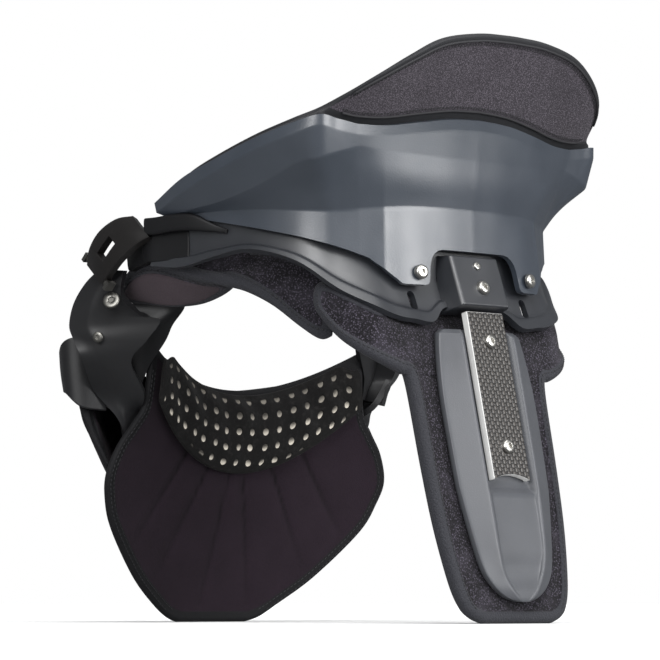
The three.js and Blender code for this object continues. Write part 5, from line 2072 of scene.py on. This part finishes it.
@dataclass
class Fixings:
    """Screws of the tabs and the boss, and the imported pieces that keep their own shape."""

    finishes: Finishes
    tab: Point = (40.6, 107.9, 178.4)
    tab_faces: Point = (0.24, 1, 0.1)
    boss: Point = (0, 112.75, 172.2)
    rivet: Point = (0, 108.62, 183.8)
    boss_faces: Point = (0, 0.941, 0.337)

    def build(self) -> None:
        """Builds the heads and dresses the bracket and the pivot."""
        steel = self.finishes.steel
        for side in Side:
            flip = side.flip
            at, faces = tuple(flip * self.tab), tuple(flip * self.tab_faces)
            Screw(f"tab_button_{side.word}", f"tab_screw_{side.word}", at, faces).build(steel, Body.REAR)
        Screw("boss_button", "boss_screw", self.boss, self.boss_faces).build(steel, Body.REAR)
        pin = Screw("boss_pin", "boss_rivet", self.rivet, self.boss_faces, 2.2, 0.8, 0.7, 0.4)
        pin.build(steel, Body.REAR)
        shown = {"hinge_bracket_right": self.finishes.base, "latch_pivot_left": self.finishes.dull}
        for node, finish in shown.items():
            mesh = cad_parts[node].data
            mesh.materials.clear()
            mesh.materials.append(finish)


@dataclass
class Studio:
    """Pale floor, soft lights and the camera at the photograph's angle."""

    azimuth: float = 135.7
    distance: float = 2020.0
    height: float = 12.0
    focal: float = 3779.0
    sensor: float = 36.0
    floor_reach: float = 6000.0
    grey: float = 0.2
    picture: float = 660.0
    aim: Point = (0.0, 0.0, 156.3)
    floor: Colour = (0.86, 0.86, 0.86)
    lamps: tuple[tuple[str, Point, float, float], ...] = (
        ("key", (0.5, 0.6, 0.62), 24.0, 1.6),
        ("left_box", (0.85, 0.42, 0.32), 26.0, 1.8),
        ("right_box", (-0.3, 0.93, 0.2), 42.0, 4.2),
        ("top", (0.1, 0.2, 1.0), 60.0, 2.0),
    )

    def build(self) -> None:
        """Sets the floor, the lights, the surroundings and the camera."""
        self.ground()
        for name, toward, spread, strength in self.lamps:
            lamp = bpy.data.lights.new(name, "SUN")
            lamp.angle = math.radians(spread)
            lamp.energy = strength
            holder = bpy.data.objects.new(name, lamp)
            holder.location = Vector(toward) * 2.0
            holder.rotation_euler = (-Vector(toward)).to_track_quat("-Z", "Y").to_euler()
            bpy.context.collection.objects.link(holder)
        self.surroundings()
        self.viewpoint()
        bpy.context.scene.view_settings.view_transform = "Standard"

    def ground(self) -> None:
        """A wide pale floor."""
        reach = np.linspace(-self.floor_reach, self.floor_reach, 5)
        x, y = np.meshgrid(reach, reach, indexing="ij")
        sheet = add_grid("floor", np.stack([x, y, np.zeros_like(x)], axis=-1))
        s = Shader("pale_floor")
        s.set(Base_Color=s.shades(s.noise(60, 2), self.floor, 0.985, 1.0), Roughness=0.85)
        sheet.data.materials.append(s.material)
        sheet.visible_glossy = False

    def surroundings(self) -> None:
        """White seen by the camera, softer grey on the piece."""
        world = bpy.data.worlds.new("studio")
        world.use_nodes = True
        tree = world.node_tree
        seen = tree.nodes.new("ShaderNodeBackground")
        seen.inputs[0].default_value = (1, 1, 1, 1)
        lit = tree.nodes["Background"]
        lit.inputs[0].default_value = (0.95, 0.97, 1.0, 1)
        lit.inputs[1].default_value = self.grey
        ray = tree.nodes.new("ShaderNodeLightPath")
        mix = tree.nodes.new("ShaderNodeMixShader")
        tree.links.new(ray.outputs["Is Camera Ray"], mix.inputs[0])
        tree.links.new(lit.outputs[0], mix.inputs[1])
        tree.links.new(seen.outputs[0], mix.inputs[2])
        tree.links.new(mix.outputs[0], tree.nodes["World Output"].inputs[0])
        bpy.context.scene.world = world

    def viewpoint(self) -> None:
        """The camera: behind and to the left, just above the floor, tilted up a little."""
        a = math.radians(self.azimuth)
        eye = np.array([math.sin(a) * self.distance, -math.cos(a) * self.distance, self.height])
        lens = bpy.data.cameras.new("camera")
        lens.sensor_width = self.sensor
        lens.lens = self.sensor * self.focal / self.picture
        lens.clip_end = 50.0
        holder = bpy.data.objects.new("camera", lens)
        holder.location = to_scene(eye)
        way = Vector(to_scene(np.array(self.aim))) - holder.location
        holder.rotation_euler = way.to_track_quat("-Z", "Y").to_euler()
        bpy.context.collection.objects.link(holder)
        bpy.context.scene.camera = holder


def write_size() -> None:
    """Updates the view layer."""
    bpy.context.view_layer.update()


def main() -> None:
    """Builds every sub-assembly in order."""
    logging.basicConfig(level=logging.INFO, format="%(name)s: %(message)s")
    finishes = Finishes()
    Studio().build()
    RearShell(finishes).build()
    RearBase(finishes).build()
    Strut(finishes).build()
    Fixings(finishes).build()
    HelmetPad(finishes).build()
    BackPad(finishes).build()
    ChestFlap(finishes).build()
    NeckCollar(finishes).build()
    FrontBand(finishes).build()
    for side in Side:
        ShoulderPad(finishes, side).build()
        SidePanel(finishes, side).build()
        NeckWing(finishes, side).build()
        ArmBar(finishes, side).build()
        Clip(finishes, side).build()
    write_size()


if __name__ == "__main__":
    main()
